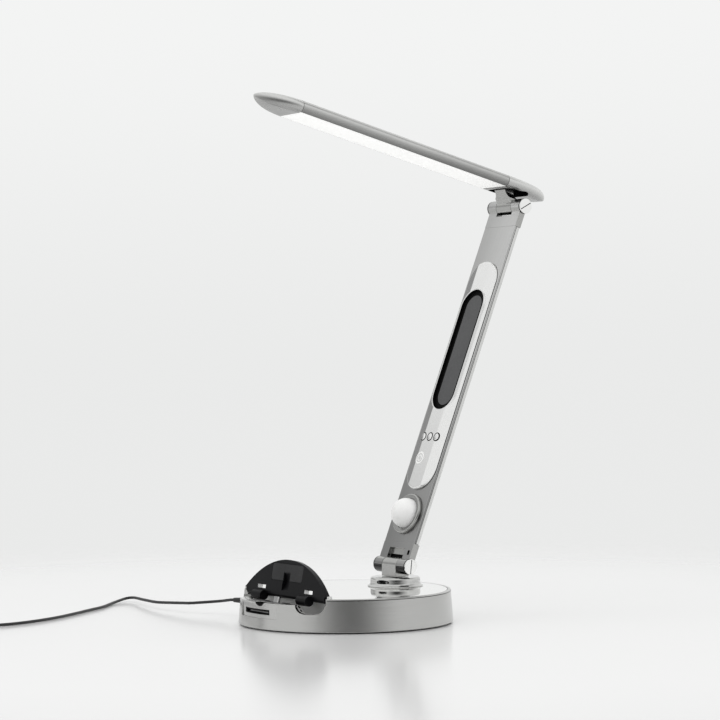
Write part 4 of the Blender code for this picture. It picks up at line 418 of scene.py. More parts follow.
for name, settings in metalSettings.items():
    finishes[name] = metalFinish(name, settings)
for name, settings in plasticSettings.items():
    finishes[name] = plasticFinish(name, settings)
diffuserSettings = {"colour": (0.92, 0.92, 0.91), "light": (0.94, 0.94, 0.93), "dark": (0.90, 0.90, 0.89),
                    "roughness": 0.35, "ripple": 60, "grain": 1200, "relief": 0.1, "depth": 0.00003,
                    "glowColour": (1, 1, 0.985), "glow": 0.28}
finishes["diffuserWhite"], diffuserTree, diffuserShader = startFinish(
    "diffuserWhite", diffuserSettings["colour"], 0, diffuserSettings["roughness"])
tintBetween(diffuserTree, diffuserShader, addNoise(diffuserTree, diffuserSettings["ripple"], 2),
            diffuserSettings["dark"], diffuserSettings["light"])
diffuserShader.inputs["Emission Color"].default_value = (*diffuserSettings["glowColour"], 1)
diffuserShader.inputs["Emission Strength"].default_value = diffuserSettings["glow"]
addBump(diffuserTree, diffuserShader, addNoise(diffuserTree, diffuserSettings["grain"], 2),
        diffuserSettings["relief"], diffuserSettings["depth"])
print("finishes mixed:", len(finishes))


# the lead: one smooth curve from its plug at the back of the base, over the table, into its coil and on to the adapter
leadSettings = {
    "diameter": 0.0026, "spacing": 0.0026, "exit": (-0.1049, -0.0478, 0.0137),
    "route": [
        (-0.1270, -0.0510, 0.0110), (-0.1455, -0.0660, 0.0090), (-0.1576, -0.0686, 0.0082),
        (-0.1880, -0.0728, 0.0065), (-0.2035, -0.0724, 0.0058), (-0.2360, -0.0667, 0.0050),
        (-0.2660, -0.0600, 0.0040), (-0.2730, -0.0647, 0.0030), (-0.2590, -0.0840, 0.0016),
        (-0.2320, -0.1096, 0.0014), (-0.2160, -0.1300, 0.0014), (-0.1790, -0.1785, 0.0014),
        (-0.1590, -0.2170, 0.0014), (-0.1530, -0.2470, 0.0014), (-0.1620, -0.2700, 0.0018),
    ],
    "tail": [(-0.1950, -0.3250, 0.0105), (-0.2080, -0.3300, 0.0090)],
    "coilCentre": (-0.2060, -0.3010), "innerRadius": 0.0108, "pitch": 0.0032, "layers": 4, "turnsPerLayer": 2.75,
    "pointsPerTurn": 40, "startAngle": -28, "coilLow": 0.0027, "climbShare": 0.25, "headingStep": 0.01,
    "adapterTurn": 28, "adapterCentre": (-0.2580, -0.3460), "bootEnd": 0.0366, "bootHeight": 0.008,
    "knotSteps": 24, "roundness": 3,
}


# a curve through all the points, given as points that lie evenly along it
def smoothPath(points, spacing):
    knots = [Vector(p) for p in points]
    knots = [2 * knots[0] - knots[1]] + knots + [2 * knots[-1] - knots[-2]]
    dense = []
    for before, start, end, after in zip(knots, knots[1:], knots[2:], knots[3:]):
        curved = 2 * before - 5 * start + 4 * end - after
        twisted = 3 * start - before - 3 * end + after
        for i in range(leadSettings["knotSteps"]):
            t = i / leadSettings["knotSteps"]
            dense.append(0.5 * (2 * start + (end - before) * t + curved * t ** 2 + twisted * t ** 3))
    dense.append(knots[-2])
    path = [dense[0]]
    for point in dense[1:-1]:
        if (point - path[-1]).length >= spacing:
            path.append(point)
    if (dense[-1] - path[-1]).length < spacing / 2:
        path.pop()
    return path + [dense[-1]]


# flat spirals, one above the other, that run inwards and outwards by turns and climb where they meet
def coilPoint(turn):
    perLayer = leadSettings["turnsPerLayer"]
    layer = min(int(turn / perLayer), leadSettings["layers"] - 1)
    within = turn - layer * perLayer
    inward = perLayer - within
    climb = 0
    if layer + 1 < leadSettings["layers"] and inward < leadSettings["climbShare"]:
        climb = 0.5 - 0.5 * inward / leadSettings["climbShare"]
    if layer > 0 and within < leadSettings["climbShare"]:
        climb = 0.5 * within / leadSettings["climbShare"] - 0.5
    radius = leadSettings["innerRadius"] + leadSettings["pitch"] * (within if layer % 2 else inward)
    angle = math.radians(leadSettings["startAngle"]) - math.tau * turn
    x, y = leadSettings["coilCentre"]
    height = leadSettings["coilLow"] + leadSettings["pitch"] * (layer + climb)
    return Vector((x + radius * math.cos(angle), y + radius * math.sin(angle), height))


def adapterPoint(along, height):
    turn = math.radians(leadSettings["adapterTurn"])
    x, y = leadSettings["adapterCentre"]
    return Vector((x + along * math.cos(turn), y + along * math.sin(turn), height))


start = Vector(leadSettings["exit"])
outward = Vector((start.x, start.y, 0)).normalized()
thick = leadSettings["diameter"]
coilStart = coilPoint(0)
heading = (coilPoint(leadSettings["headingStep"]) - coilStart).normalized()
heading.z = 0
runEnd = coilStart - heading * thick
runPath = smoothPath([start, start + outward * thick] + leadSettings["route"] + [runEnd], leadSettings["spacing"])
turnCount = leadSettings["turnsPerLayer"] * leadSettings["layers"]
stepCount = round(turnCount * leadSettings["pointsPerTurn"])
coilPath = [coilPoint(turnCount * i / stepCount) for i in range(stepCount + 1)]
tailStops = [coilPath[-2], coilPath[-1]] + leadSettings["tail"]
tailStops += [adapterPoint(leadSettings["bootEnd"] + thick, leadSettings["bootHeight"])]
tailStops += [adapterPoint(leadSettings["bootEnd"], leadSettings["bootHeight"])]
tailPath = [p for p in smoothPath(tailStops, leadSettings["spacing"])[2:] if (p - coilPath[-1]).length > thick / 2]
leadPath = runPath + coilPath + tailPath
leadCurve = bpy.data.curves.new("lead", "CURVE")
leadCurve.dimensions = "3D"
leadCurve.bevel_depth = thick / 2
leadCurve.bevel_resolution = leadSettings["roundness"]
leadCurve.use_fill_caps = True
line = leadCurve.splines.new("POLY")
line.points.add(len(leadPath) - 1)
for point, spot in zip(line.points, leadPath):
    point.co = (*spot, 1)
line.use_smooth = True
lead = bpy.data.objects.new("lead", leadCurve)
bpy.context.scene.collection.objects.link(lead)
paint(lead, finishes["cordBlack"])
leadLength = sum((b - a).length for a, b in zip(leadPath, leadPath[1:]))
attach(lead, "base")
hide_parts("cord_run", "cord_coil")
print(f"lead laid: {leadLength:.3f} m")


# the moulded and turned parts keep their size; each gets a merged copy with softened edges and its own finish
copySettings = {"merge": 0.000002, "dissolve": 0.3, "shellSoftening": 0.0004, "shellAngle": 14, "shellBevelAngle": 24}
partSettings = {
    "base_top_plate": ("topPlate", "mirrorPlate", 0.0002),
    "dock_tray": ("dockTray", "traySilver", 0.0003),
    "rest_flap": ("restFlap", "flapBlack", 0.0004),
    "rest_pad": ("restPad", "softRubber", 0.0002),
    "plug_barrel": ("plugBarrel", "plugBlack", 0.0003),
    "plug_slim": ("slimPlug", "steelShell", 0.0002),
    "plug_micro": ("microPlug", "steelShell", 0.0002),
    "plug_reversible": ("reversiblePlug", "steelShell", 0.0002),
    # the port's shell is near-black: painted shade inside the port
    "front_port_shell": ("portShell", "cavityBlack", 0.0001),
    "front_port_tongue": ("portTongue", "tongueGrey", 0.0001),
    "lower_knuckle": ("lowerKnuckle", "satinChrome", 0.0003),
    "lower_fork": ("lowerFork", "satinChrome", 0.0003),
    "arm_channel": ("armChannel", "armEdge", 0.0003),
    "arm_cover": ("armFace", "brushedArm", 0.0003),
    "upper_fork": ("upperFork", "satinChrome", 0.0003),
    "head_neck": ("headNeck", "satinChrome", 0.0003),
    "head_housing": ("headRail", "headSilver", 0.0002),
    "head_front_cap": ("headTip", "headEnd", 0.0002),
    "head_rear_cap": ("headHeel", "headEnd", 0.0002),
    "head_diffuser": ("headDiffuser", "diffuserWhite", 0.0002),
    "lead_plug": ("leadPlug", "plugBlack", 0.0002),
}
# hidden and small parts keep the mesh they came with, and only take a finish
plainFinishes = {
    "darkIron": ["base_bottom_plate", "ballast_weight", "base_screw_1", "base_screw_2", "base_screw_3"],
    "softRubber": ["anti_slip_pad", "coil_tie", "adapter_boot"],
    "boardGreen": ["main_circuit_board", "arm_circuit_board", "led_board"],
    "plugBlack": ["swivel_bush", "lead_socket", "power_adapter"],
    "brass": ["swivel_nut", "adapter_pin_1", "adapter_pin_2"],
    "steelShell": ["flap_hinge_pin", "lead_plug_pin", "lower_hinge_pin", "upper_hinge_pin"],
    "screenBlack": ["motion_sensor"],
}


def dressCopy(node, name, finish, softening, flatAngle=0):
    source = nodes[node]
    piece = bpy.data.objects.new(name, source.data.copy())
    bpy.context.scene.collection.objects.link(piece)
    makeActive(piece)
    bpy.ops.mesh.customdata_custom_splitnormals_clear()
    bpy.ops.object.mode_set(mode="EDIT")
    bpy.ops.mesh.select_all(action="SELECT")
    bpy.ops.mesh.remove_doubles(threshold=copySettings["merge"])
    bpy.ops.mesh.dissolve_limited(angle_limit=math.radians(copySettings["dissolve"]))
    bpy.ops.object.mode_set(mode="OBJECT")
    if flatAngle:
        bpy.ops.object.shade_smooth_by_angle(angle=math.radians(flatAngle))
        bevelEdges(piece, softening, 2, copySettings["shellBevelAngle"], True)
    else:
        bevelEdges(piece, softening)
        smoothShade(piece)
    paint(piece, finish)
    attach(piece, source["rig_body"])
    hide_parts(node)
    return piece


dressed = {}
for node, (name, finish, softening) in partSettings.items():
    dressed[name] = dressCopy(node, name, finishes[finish], softening)
for finish, plainNodes in plainFinishes.items():
    for node in plainNodes:
        paint(nodes[node], finishes[finish])
shell = dressCopy("base_housing", "baseShell", finishes["turnedSilver"], copySettings["shellSoftening"],
                  copySettings["shellAngle"])
dressed["baseShell"] = shell
print("parts dressed:", len(dressed))


# faces that differ from the rest of their piece are found by where they lie and which way they look, in the frame
# of the arm's face or of the head where one is given
def paintWhere(piece, finish, test, place=Matrix()):
    piece.data.materials.append(finish)
    back = place.inverted()
    for face in piece.data.polygons:
        if test(back @ face.center, back.to_3x3() @ face.normal):
            face.material_index = len(piece.data.materials) - 1


def inside(spot, low, high):
    return all(a < value < b for a, value, b in zip(low, spot, high))


faceSettings = {"axis": (0, 0.0507, 0.0454), "lean": 22.1}
armFace = Matrix.Translation(faceSettings["axis"]) @ Matrix.Rotation(math.radians(90 - faceSettings["lean"]), 4, "X")
headSettings = {"axis": (0, 0.17645, 0.35515), "tilt": -14.3}
headPlace = Matrix.Translation(headSettings["axis"]) @ Matrix.Rotation(math.radians(headSettings["tilt"]), 4, "X")
spots = {
    "port": ((-0.0188, -0.0890, 0.0129), (0.0188, -0.0830, 0.0176)), "portFloor": -0.0845,
    "shellHighlight": (0.0222, 0.0235),
    "gapShade": ((-0.0004, -1, 0.0195), (0.0124, -0.0800, 0.0227)), "gapUp": 0.1,
    "flapGlint": ((0.0300, -1, 0.0290), (0.0432, 1, 0.0345)),
    "forkFace": 0.0030, "forkFoot": 0.0040, "footDown": -0.25, "footAside": 0.5,
    "forkNotch": ((0.0163, 0.0090, 0.0018), (0.0197, 0.0140, 0.0031)),
    "forkStepHighlight": ((-0.0109, 0.0095, 0.0002), (0.0109, 0.0153, 0.0031)),
    "pocket": ((-0.0171, -0.0169, 0.0124), (0.0171, 0.0083, 0.0208)), "pocketFloor": 0.0205,
    "pocketUp": 0.1, "pocketWall": 0.3, "neckTop": 0.0152,
}
lowerFork = dressed["lowerFork"]
dark = finishes["cavityBlack"]
# the port's inside faces are painted near-black: painted shade
paintWhere(shell, dark, lambda spot, normal: inside(spot, *spots["port"])
           and (max(abs(normal.x), abs(normal.z)) > facing or spot.y > spots["portFloor"]))
for fork in (lowerFork, dressed["upperFork"]):
    paintWhere(fork, finishes["brushedArm"],
               lambda spot, normal: normal.z > facing and spot.z > spots["forkFace"], armFace)
# the slot in the lower fork is painted near-black: painted shade
paintWhere(lowerFork, dark, lambda spot, normal: inside(spot, *spots["forkNotch"]), armFace)
# the fork's step is painted a lighter silver: a painted highlight
paintWhere(lowerFork, finishes["capSilver"], lambda spot, normal: inside(spot, *spots["forkStepHighlight"]), armFace)
# the lower fork's downward faces near its foot are painted near-black: painted shade
paintWhere(lowerFork, finishes["paintedShadeChrome"], lambda spot, normal: spot.y < spots["forkFoot"]
           and normal.y < spots["footDown"] and abs(normal.x) < spots["footAside"], armFace)
# upward faces of the shell at this height take a lighter silver: a painted highlight
paintWhere(shell, finishes["capSilver"], lambda spot, normal: normal.z > facing
           and spots["shellHighlight"][0] < spot.z < spots["shellHighlight"][1])
# upward faces in a gap at the dock's front are painted near-black: painted shade
paintWhere(shell, dark, lambda spot, normal: normal.z > spots["gapUp"] and inside(spot, *spots["gapShade"]))
# the side faces of the flap's notches are painted white: painted glints
paintWhere(dressed["restFlap"], finishes["printAndGlintWhite"], lambda spot, normal: abs(normal.x) > facing
           and inside((abs(spot.x), spot.y, spot.z), *spots["flapGlint"]))
# the heel's pocket is painted near-black: painted shade
paintWhere(dressed["headHeel"], dark, lambda spot, normal: inside(spot, *spots["pocket"])
           and normal.z < spots["pocketUp"] and spot.x * normal.x < level
           and (abs(normal.z) < spots["pocketWall"] or spot.z > spots["pocketFloor"]), headPlace)
# the neck's top, where it meets the head, is painted near-black: painted shade
paintWhere(dressed["headNeck"], dark, lambda spot, normal: spot.z > spots["neckTop"], headPlace)
print("single faces painted")


# the swivel collar: a turned skirt that flares towards the plate
collarSettings = {
    "centre": (0, 0.0507, 0), "steps": 96, "smooth": 40,
    "rings": [
        (0.0222, 0.0270), (0.0237, 0.0281), (0.0239, 0.0285), (0.0236, 0.0289), (0.0227, 0.0293), (0.0219, 0.0299),
        (0.0215, 0.0306), (0.0214, 0.0315), (0.0214, 0.0330), (0.0213, 0.0343), (0.0210, 0.0351), (0.0204, 0.0357),
        (0.0196, 0.0360), (0.0186, 0.0360),
    ],
}
collar = turnPiece("swivelCollar", collarSettings["rings"], collarSettings["steps"],
                   Matrix.Translation(collarSettings["centre"]))
smoothShade(collar, collarSettings["smooth"])
paint(collar, finishes["collarChrome"])
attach(collar, "swivel")
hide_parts("swivel_collar")


# hinge caps: turned discs with a screwdriver slot and bright faces, whose rims and slots are painted near-black as
# painted shade, each with its centre and its slot's turn
capSettings = {
    "rings": [(0.0067, 0.0225), (0.0067, 0.0235), (0.0065, 0.0239), (0.0060, 0.0241)], "steps": 64, "smooth": 30,
    "outer": 0.0241, "slotReach": 0.0059, "slotHalf": 0.0004, "slotDepth": 0.0006, "rimTurn": 0.4,
    "lower": ((0, 0.0507, 0.0454), 84), "upper": ((0, 0.17645, 0.35515), 27.4),
}


def onCapTop(face):
    return face.normal.z > flat and face.center.z > capSettings["outer"] - level


def makeCap(hinge, word, side):
    centre, lean = capSettings[hinge]
    half = capSettings["slotHalf"]
    cap = turnPiece(f"{hinge}Cap{word}", capSettings["rings"], capSettings["steps"])
    for edge in (-half, half):
        selectFaces(cap, onCapTop)
        bpy.ops.mesh.bisect(plane_co=(edge, 0, 0), plane_no=(1, 0, 0))
    selectFaces(cap, lambda face: onCapTop(face) and abs(face.center.x) < half)
    drawOut(-capSettings["slotDepth"])
    closeUp(cap, Matrix.Rotation(math.radians(90 * side), 4, "Y"))
    paint(cap, finishes["mirrorPlate"])
    # the rims and the slot are painted near-black: painted shade
    paintWhere(cap, finishes["paintedShadeChrome"], lambda spot, normal: abs(normal.x) < capSettings["rimTurn"]
               or abs(spot.x) < capSettings["outer"] - slack and math.hypot(spot.y, spot.z) < capSettings["slotReach"])
    applyPlace(cap, Matrix.Translation(centre) @ Matrix.Rotation(math.radians(lean), 4, "X"))
    smoothShade(cap, capSettings["smooth"])
    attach(cap, "arm")
    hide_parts(f"{hinge}_hinge_cap_{word.lower()}")


for hinge in ("lower", "upper"):
    makeCap(hinge, "Left", -1)
    makeCap(hinge, "Right", 1)
print("collar and hinge caps made")


# a thin dark ring under the base's bright rim as painted shade, open at the dock, and the two ears that hold the flap's
# pin
rimSettings = {"radius": 0.08878, "width": 0.0004, "low": 0.02645, "high": 0.02700, "steps": 180, "openHalf": 0.0655}
rimShadeLine = flatRing("rimShadeLine", rimSettings["radius"], rimSettings["width"], (0, 0),
                   rimSettings["low"], rimSettings["high"], rimSettings["steps"],
                   lambda spot: abs(spot.x) < rimSettings["openHalf"] and spot.y < 0)
smoothShade(rimShadeLine)
paint(rimShadeLine, finishes["paintedShadeChrome"])
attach(rimShadeLine, "base")
earSettings = {
    "flapEarLeft": ((-0.0656, -0.0600, 0.0272), (-0.0632, -0.0555, 0.0302)),
    "flapEarRight": ((0.0632, -0.0600, 0.0272), (0.0656, -0.0555, 0.0302)),
    "rounding": 0.0009, "segments": 4,
}
for name in ("flapEarLeft", "flapEarRight"):
    ear = boxPiece(name, *earSettings[name], earSettings["rounding"], earSettings["segments"])
    smoothShade(ear)
    paint(ear, finishes["capSilver"])
    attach(ear, "base")


# dark boxes, as painted shade, fill the forks' slots behind the knuckles, and thin strips close the seams between the
# arm's face and the forks
liningSettings = {
    "lowerSlotShade": ((-0.0107, 0.0073, -0.0026), (0.0107, 0.0099, -0.0012), "cavityBlack"),
    "upperSlotShade": ((-0.0107, 0.3244, -0.0026), (0.0107, 0.3270, -0.0012), "cavityBlack"),
    "lowerSeam": ((-0.0219, 0.0198, 0.0022), (0.0219, 0.0206, 0.00305), "brushedArm"),
    "upperSeam": ((-0.0219, 0.3136, 0.0022), (0.0219, 0.3144, 0.00305), "brushedArm"),
}
liningRounding = 0.0001
for name, (low, high, finish) in liningSettings.items():
    lining = boxPiece(name, low, high, liningRounding, place=armFace)
    paint(lining, finishes[finish])
    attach(lining, "arm")


# the display pod: a long capsule with a rounded shoulder and sloped long sides, and a window sunk into it behind a
# thin raised rim
podSettings = {
    "radius": 0.0205, "low": 0.0675, "high": 0.2805, "bottom": 0.0035, "top": 0.0063, "steps": 72,
    "shoulder": 0.0021, "shoulderSteps": 6, "flatHalf": 0.0091, "slope": 0.20, "edge": 0.0003, "edgeAngle": 50,
    "windowRadius": 0.0152, "windowLow": 0.1409, "windowHigh": 0.2530, "sunk": 0.0026, "bezel": 0.0046,
    "rimWidth": 0.0011, "rimWall": 0.0003, "wallTurn": 0.5,
    "linerReach": 0.0005, "linerLow": 0.0006, "linerTurn": (0.3, 0.95), "smooth": 40,
    "glassSteps": 64, "glassThick": 0.0004, "glassEdge": 0.00015,
}
podTop = podSettings["top"]
podMiddle = (podSettings["low"] + podSettings["high"]) / 2
windowFloor = podTop - podSettings["sunk"]
rimOuter = podSettings["rimWidth"] + slack


def nearWindow(spot, margin):
    middle = min(max(spot.y, podSettings["windowLow"] + podSettings["windowRadius"]),
                 podSettings["windowHigh"] - podSettings["windowRadius"])
    return math.hypot(spot.x, spot.y - middle) < podSettings["windowRadius"] + margin


# the pod's long sides fall away from its flat middle, and the rim of the window stays up
def slopeSides(piece):
    for point in piece.data.vertices:
        beyond = abs(point.co.x) - podSettings["flatHalf"]
        if beyond > 0 and not nearWindow(point.co, rimOuter):
            share = (point.co.z - podSettings["bottom"]) / (podTop - podSettings["bottom"])
            point.co.z -= podSettings["slope"] * beyond * min(share, 1)


pod = capsulePiece("displayPod", podSettings["radius"], podSettings["low"], podSettings["high"],
                   podSettings["bottom"], podTop, podSettings["steps"])
bpy.ops.mesh.bevel(offset=podSettings["shoulder"], segments=podSettings["shoulderSteps"], affect="EDGES")
selectFaces(pod, lambda face: face.normal.z > flat and face.center.z > podTop - level)
rimReach = podSettings["windowRadius"] + podSettings["rimWidth"] + podSettings["rimWall"]
bpy.ops.mesh.inset(thickness=podSettings["radius"] - podSettings["shoulder"] - rimReach, depth=0)
bpy.ops.object.mode_set(mode="OBJECT")
rim = [point.index for point in pod.data.vertices if point.select]
insetGap = podSettings["radius"] - podSettings["windowRadius"]
for rise, upper in ((podSettings["windowLow"] - podSettings["low"] - insetGap, False),
                    (podSettings["windowHigh"] - podSettings["high"] + insetGap, True)):
    pickPoints(pod, rim)
    keepPoints(pod, lambda spot: (spot.y > podMiddle) == upper)
    bpy.ops.transform.translate(value=(0, rise, 0))
pickPoints(pod, rim)
bpy.ops.mesh.select_mode(type="FACE")
bpy.ops.mesh.inset(thickness=podSettings["rimWall"], depth=0)
bpy.ops.mesh.inset(thickness=podSettings["rimWidth"], depth=0)
drawOut(-podSettings["sunk"])
for side in (-1, 1):
    bpy.ops.mesh.select_all(action="SELECT")
    bpy.ops.mesh.bisect(plane_co=(side * podSettings["flatHalf"], 0, 0), plane_no=(1, 0, 0))
closeUp(pod)
bevelEdges(pod, podSettings["edge"], 2, podSettings["edgeAngle"])
slopeSides(pod)
smoothShade(pod, podSettings["smooth"])
paint(pod, finishes["podSilver"])
# the window's walls and the floor round the glass are painted near-black: painted shade on the walls, and a black band
# round the glass
paintWhere(pod, dark, lambda spot, normal: nearWindow(spot, slack)
           and podSettings["bottom"] + slack < spot.z < podTop - 2 * slack
           and abs(normal.x) + abs(normal.y) + normal.z > podSettings["wallTurn"])
paintWhere(pod, finishes["chrome"], lambda spot, normal: nearWindow(spot, podSettings["linerReach"])
           and podSettings["linerTurn"][0] < normal.z < podSettings["linerTurn"][1]
           and spot.z > windowFloor + podSettings["linerLow"])
paintWhere(pod, finishes["traySilver"], lambda spot, normal: nearWindow(spot, rimOuter)
           and normal.z > podSettings["linerTurn"][1] and spot.z > podTop - slack)
applyPlace(pod, armFace)
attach(pod, "arm")
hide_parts("display_pod", "power_touch_key")
glass = capsulePiece("displayGlass", podSettings["windowRadius"] - podSettings["bezel"],
                     podSettings["windowLow"] + podSettings["bezel"], podSettings["windowHigh"] - podSettings["bezel"],
                     windowFloor, windowFloor + podSettings["glassThick"], podSettings["glassSteps"])
closeUp(glass, armFace)
bevelEdges(glass, podSettings["glassEdge"])
smoothShade(glass)
paint(glass, finishes["screenGrey"])
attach(glass, "arm")
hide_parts("display_window", "display_panel")
print("pod made")


# the three keys with low domed tops, each with a flat dark ring round it as painted shade for its groove; heights are
# measured from the pod's top
keySettings = {
    "spacing": 0.0096, "height": 0.1153, "radius": 0.0040, "width": 0.0009, "low": -0.0002, "high": 0.00008,
    "grooveSteps": 40, "steps": 48, "smooth": 50,
    "rings": [
        (0.0031, -0.0012), (0.0031, 0.00018), (0.0029, 0.00030), (0.0024, 0.00045), (0.0013, 0.00052), (0, 0.00055),
    ],
}
keyRings = [(radius, podTop + rise) for radius, rise in keySettings["rings"]]
for number in (1, 2, 3):
    across = (number - 2) * keySettings["spacing"]
    shadeRing = flatRing(f"keyShadeRing{number}", keySettings["radius"], keySettings["width"],
                      (across, keySettings["height"]), podTop + keySettings["low"], podTop + keySettings["high"],
                      keySettings["grooveSteps"])
    slopeSides(shadeRing)
    applyPlace(shadeRing, armFace)
    paint(shadeRing, dark)
    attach(shadeRing, "arm")
    key = turnPiece(f"modeKey{number}", keyRings, keySettings["steps"],
                    armFace @ Matrix.Translation((across, keySettings["height"], 0)))
    smoothShade(key, keySettings["smooth"])
    paint(key, finishes["podSilver"])
    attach(key, f"button_{number}")
    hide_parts(f"mode_button_{number}")


# the power sign: a ring, an open arc and a bar, joined into one raised print
signSettings = {
    "centre": (-0.0050, 0.0958), "low": -0.0002, "high": 0.0001,
    "ringRadius": 0.0055, "ringWidth": 0.0011, "ringSteps": 40,
    "arcRadius": 0.0029, "arcWidth": 0.0007, "arcSteps": 32, "gap": 0.0010,
    "barHalf": 0.0003, "barLow": 0.0004, "barHigh": 0.0034, "barSteps": 12,
}
signX, signY = signSettings["centre"]
signSpan = (podTop + signSettings["low"], podTop + signSettings["high"])
sign = flatRing("powerSign", signSettings["ringRadius"], signSettings["ringWidth"], (signX, signY), *signSpan,
                signSettings["ringSteps"])
arc = flatRing("powerArc", signSettings["arcRadius"], signSettings["arcWidth"], (signX, signY), *signSpan,
               signSettings["arcSteps"], lambda spot: abs(spot.x - signX) < signSettings["gap"] and spot.y > signY)
bar = capsulePiece("powerBar", signSettings["barHalf"], signY + signSettings["barLow"], signY + signSettings["barHigh"],
                   *signSpan, signSettings["barSteps"], signX)
closeUp(bar)
clearSelection()
for part in (sign, arc, bar):
    part.select_set(True)
bpy.context.view_layer.objects.active = sign
bpy.ops.object.join()
slopeSides(sign)
applyPlace(sign, armFace)
paint(sign, finishes["printAndGlintWhite"])
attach(sign, "arm")


# the night light: a dished bright ring, its dish painted a darker grey as painted shade, and a milky dome
lightSettings = {
    "height": 0.0453, "ringSteps": 96, "ringSmooth": 50, "dishRadius": 0.0166,
    "ring": [
        (0.0180, 0.0035), (0.0180, 0.0049), (0.0178, 0.0056), (0.0173, 0.0061), (0.0166, 0.0063), (0.0160, 0.0062),
        (0.0152, 0.0058), (0.0143, 0.0055), (0.0138, 0.0054), (0.0136, 0.0044), (0.0060, 0.0044),
    ],
    "domeRadius": 0.0130, "domeFoot": 0.0043, "domeBase": 0.0063, "domeHeight": 0.0120, "domeRings": 14,
    "domeSteps": 72, "domeSmooth": 60,
}
lightPlace = armFace @ Matrix.Translation((0, lightSettings["height"], 0))
lightRing = turnPiece("sensorRing", lightSettings["ring"], lightSettings["ringSteps"], lightPlace)
smoothShade(lightRing, lightSettings["ringSmooth"])
paint(lightRing, finishes["satinChrome"])
# the dish is painted a darker grey: painted shade
paintWhere(lightRing, finishes["dishShadeGrey"],
           lambda spot, normal: math.hypot(spot.x, spot.y) < lightSettings["dishRadius"], lightPlace)
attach(lightRing, "arm")
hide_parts("sensor_ring")
domeRings = [(lightSettings["domeRadius"], lightSettings["domeFoot"])]
for step in range(lightSettings["domeRings"]):
    angle = math.pi / 2 * step / lightSettings["domeRings"]
    domeRings.append((lightSettings["domeRadius"] * math.cos(angle),
                      lightSettings["domeBase"] + lightSettings["domeHeight"] * math.sin(angle)))
domeRings.append((0, lightSettings["domeBase"] + lightSettings["domeHeight"]))
dome = turnPiece("sensorDome", domeRings, lightSettings["domeSteps"], lightPlace)
smoothShade(dome, lightSettings["domeSmooth"])
paint(dome, finishes["milkWhite"])
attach(dome, "arm")
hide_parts("sensor_dome")
print("keys, sign and night light made")


# stage: a pale table that fades into the backdrop, soft lamps, and grey panels that only show as reflections
stageSettings = {
    "tableRadius": 1.4, "tableSteps": 128, "tableTone": (0.93, 0.93, 0.93), "tableRoughness": 0.17, "tableIndex": 3.0,
    "fadeFrom": 0.42, "fadeTo": 0.95, "lampTarget": (0, 0, 0.2),
    "backLow": (0.82, 0.825, 0.82), "backHigh": (0.90, 0.905, 0.90), "riseFrom": -0.02, "riseTo": 0.16, "ambient": 0.66,
}
lampSettings = {
    "topLamp": {"place": (0.2, -0.2, 2.6), "size": (2.2, 2.2), "power": 18},
    "leftLamp": {"place": (-1.2, -2.0, 1.3), "size": (1.4, 1.8), "power": 8},
    "rightLamp": {"place": (2.0, 1.0, 1.2), "size": (1.2, 1.8), "power": 4},
}
panelSettings = {
    "front": {"turn": -28, "rise": 8, "halfWidth": 60, "halfHeight": 34, "core": 0.05, "tone": 0.05},
    "leftLow": {"turn": -155, "rise": 14, "halfWidth": 24, "halfHeight": 12, "core": 0.1, "tone": 0.30},
    "farLeft": {"turn": -181, "rise": 14, "halfWidth": 21, "halfHeight": 18, "core": 0.2, "tone": 0.45},
    "rightHigh": {"turn": 70, "rise": 52, "halfWidth": 34, "halfHeight": 26, "core": 0.2, "tone": 0.30},
}
clearSelection()
bpy.ops.mesh.primitive_circle_add(vertices=stageSettings["tableSteps"], radius=stageSettings["tableRadius"],
                                  fill_type="NGON")
table = bpy.context.object
table.name = "paleTable"
tableFinish, tableTree, tableShader = startFinish("paleTable", stageSettings["tableTone"], 0,
                                                  stageSettings["tableRoughness"])
tableShader.inputs["IOR"].default_value = stageSettings["tableIndex"]
tableCoords = tableTree.nodes.new("ShaderNodeTexCoord")
reach = tableTree.nodes.new("ShaderNodeVectorMath")
reach.operation = "LENGTH"
tableTree.links.new(tableCoords.outputs["Object"], reach.inputs[0])
fade = addRange(tableTree, reach.outputs["Value"], stageSettings["fadeFrom"], stageSettings["fadeTo"])
clear = tableTree.nodes.new("ShaderNodeBsdfTransparent")
tableTree.links.new(mixShaders(tableTree, fade, tableShader.outputs["BSDF"], clear.outputs["BSDF"]),
                    tableTree.nodes["Material Output"].inputs["Surface"])
paint(table, tableFinish)

for name, settings in lampSettings.items():
    lampData = bpy.data.lights.new(name, "AREA")
    lampData.shape = "RECTANGLE"
    lampData.size, lampData.size_y = settings["size"]
    lampData.energy = settings["power"]
    lamp = bpy.data.objects.new(name, lampData)
    bpy.context.scene.collection.objects.link(lamp)
    lamp.location = settings["place"]
    towards = Vector(stageSettings["lampTarget"]) - Vector(settings["place"])
    lamp.rotation_euler = towards.to_track_quat("-Z", "Y").to_euler()
    lamp.visible_glossy = False

world = bpy.data.worlds.new("studio")
bpy.context.scene.world = world
world.use_nodes = True
worldTree = world.node_tree
worldTree.nodes.clear()


def addMath(operation, first, second=None, third=None):
    node = worldTree.nodes.new("ShaderNodeMath")
    node.operation = operation
    for socket, source in zip(node.inputs, (first, second, third)):
        if isinstance(source, (int, float)):
            socket.default_value = source
        elif source:
            worldTree.links.new(source, socket)
    return node.outputs[0]


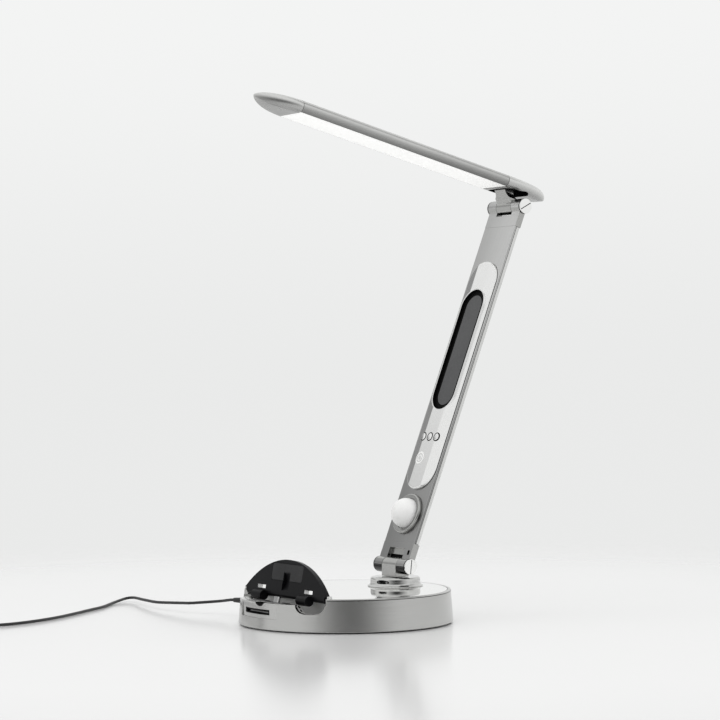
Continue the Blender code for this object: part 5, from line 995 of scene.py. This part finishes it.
def mixTones(share, first, second):
    mix = worldTree.nodes.new("ShaderNodeMix")
    mix.data_type = "RGBA"
    worldTree.links.new(share, mix.inputs["Factor"])
    for name, source in (("A", first), ("B", second)):
        if isinstance(source, tuple):
            mix.inputs[name].default_value = (*source, 1)
        else:
            worldTree.links.new(source, mix.inputs[name])
    return mix.outputs["Result"]


def addBackground(source=None):
    background = worldTree.nodes.new("ShaderNodeBackground")
    if source:
        worldTree.links.new(source, background.inputs["Color"])
    return background


gaze = worldTree.nodes.new("ShaderNodeSeparateXYZ")
worldTree.links.new(worldTree.nodes.new("ShaderNodeTexCoord").outputs["Generated"], gaze.inputs[0])
paper = mixTones(addRange(worldTree, gaze.outputs["Z"], stageSettings["riseFrom"], stageSettings["riseTo"]),
                 stageSettings["backLow"], stageSettings["backHigh"])

# soft grey panels round the room, which only shiny surfaces see
turnOf = addMath("ARCTAN2", gaze.outputs["Y"], gaze.outputs["X"])
riseOf = addMath("ARCSINE", gaze.outputs["Z"])
shown = paper
for settings in panelSettings.values():
    aside = addMath("SUBTRACT", turnOf, math.radians(settings["turn"]))
    aside = addMath("WRAP", aside, math.pi, -math.pi)
    aside = addMath("DIVIDE", aside, math.radians(settings["halfWidth"]))
    above = addMath("SUBTRACT", riseOf, math.radians(settings["rise"]))
    above = addMath("DIVIDE", above, math.radians(settings["halfHeight"]))
    away = addMath("SQRT", addMath("ADD", addMath("MULTIPLY", aside, aside), addMath("MULTIPLY", above, above)))
    shown = mixTones(addRange(worldTree, away, settings["core"], 1, 1, 0), shown, (settings["tone"],) * 3)

lit = addBackground()
lit.inputs["Color"].default_value = (1, 1, 1, 1)
lit.inputs["Strength"].default_value = stageSettings["ambient"]
rays = worldTree.nodes.new("ShaderNodeLightPath")
either = addMath("MAXIMUM", rays.outputs["Is Camera Ray"], rays.outputs["Is Transmission Ray"])
mirrored = mixShaders(worldTree, rays.outputs["Is Glossy Ray"], lit.outputs[0], addBackground(shown).outputs[0])
sky = worldTree.nodes.new("ShaderNodeOutputWorld")
worldTree.links.new(mixShaders(worldTree, either, mirrored, addBackground(paper).outputs[0]), sky.inputs["Surface"])
bpy.context.scene.view_settings.view_transform = "Standard"
print("stage lit")
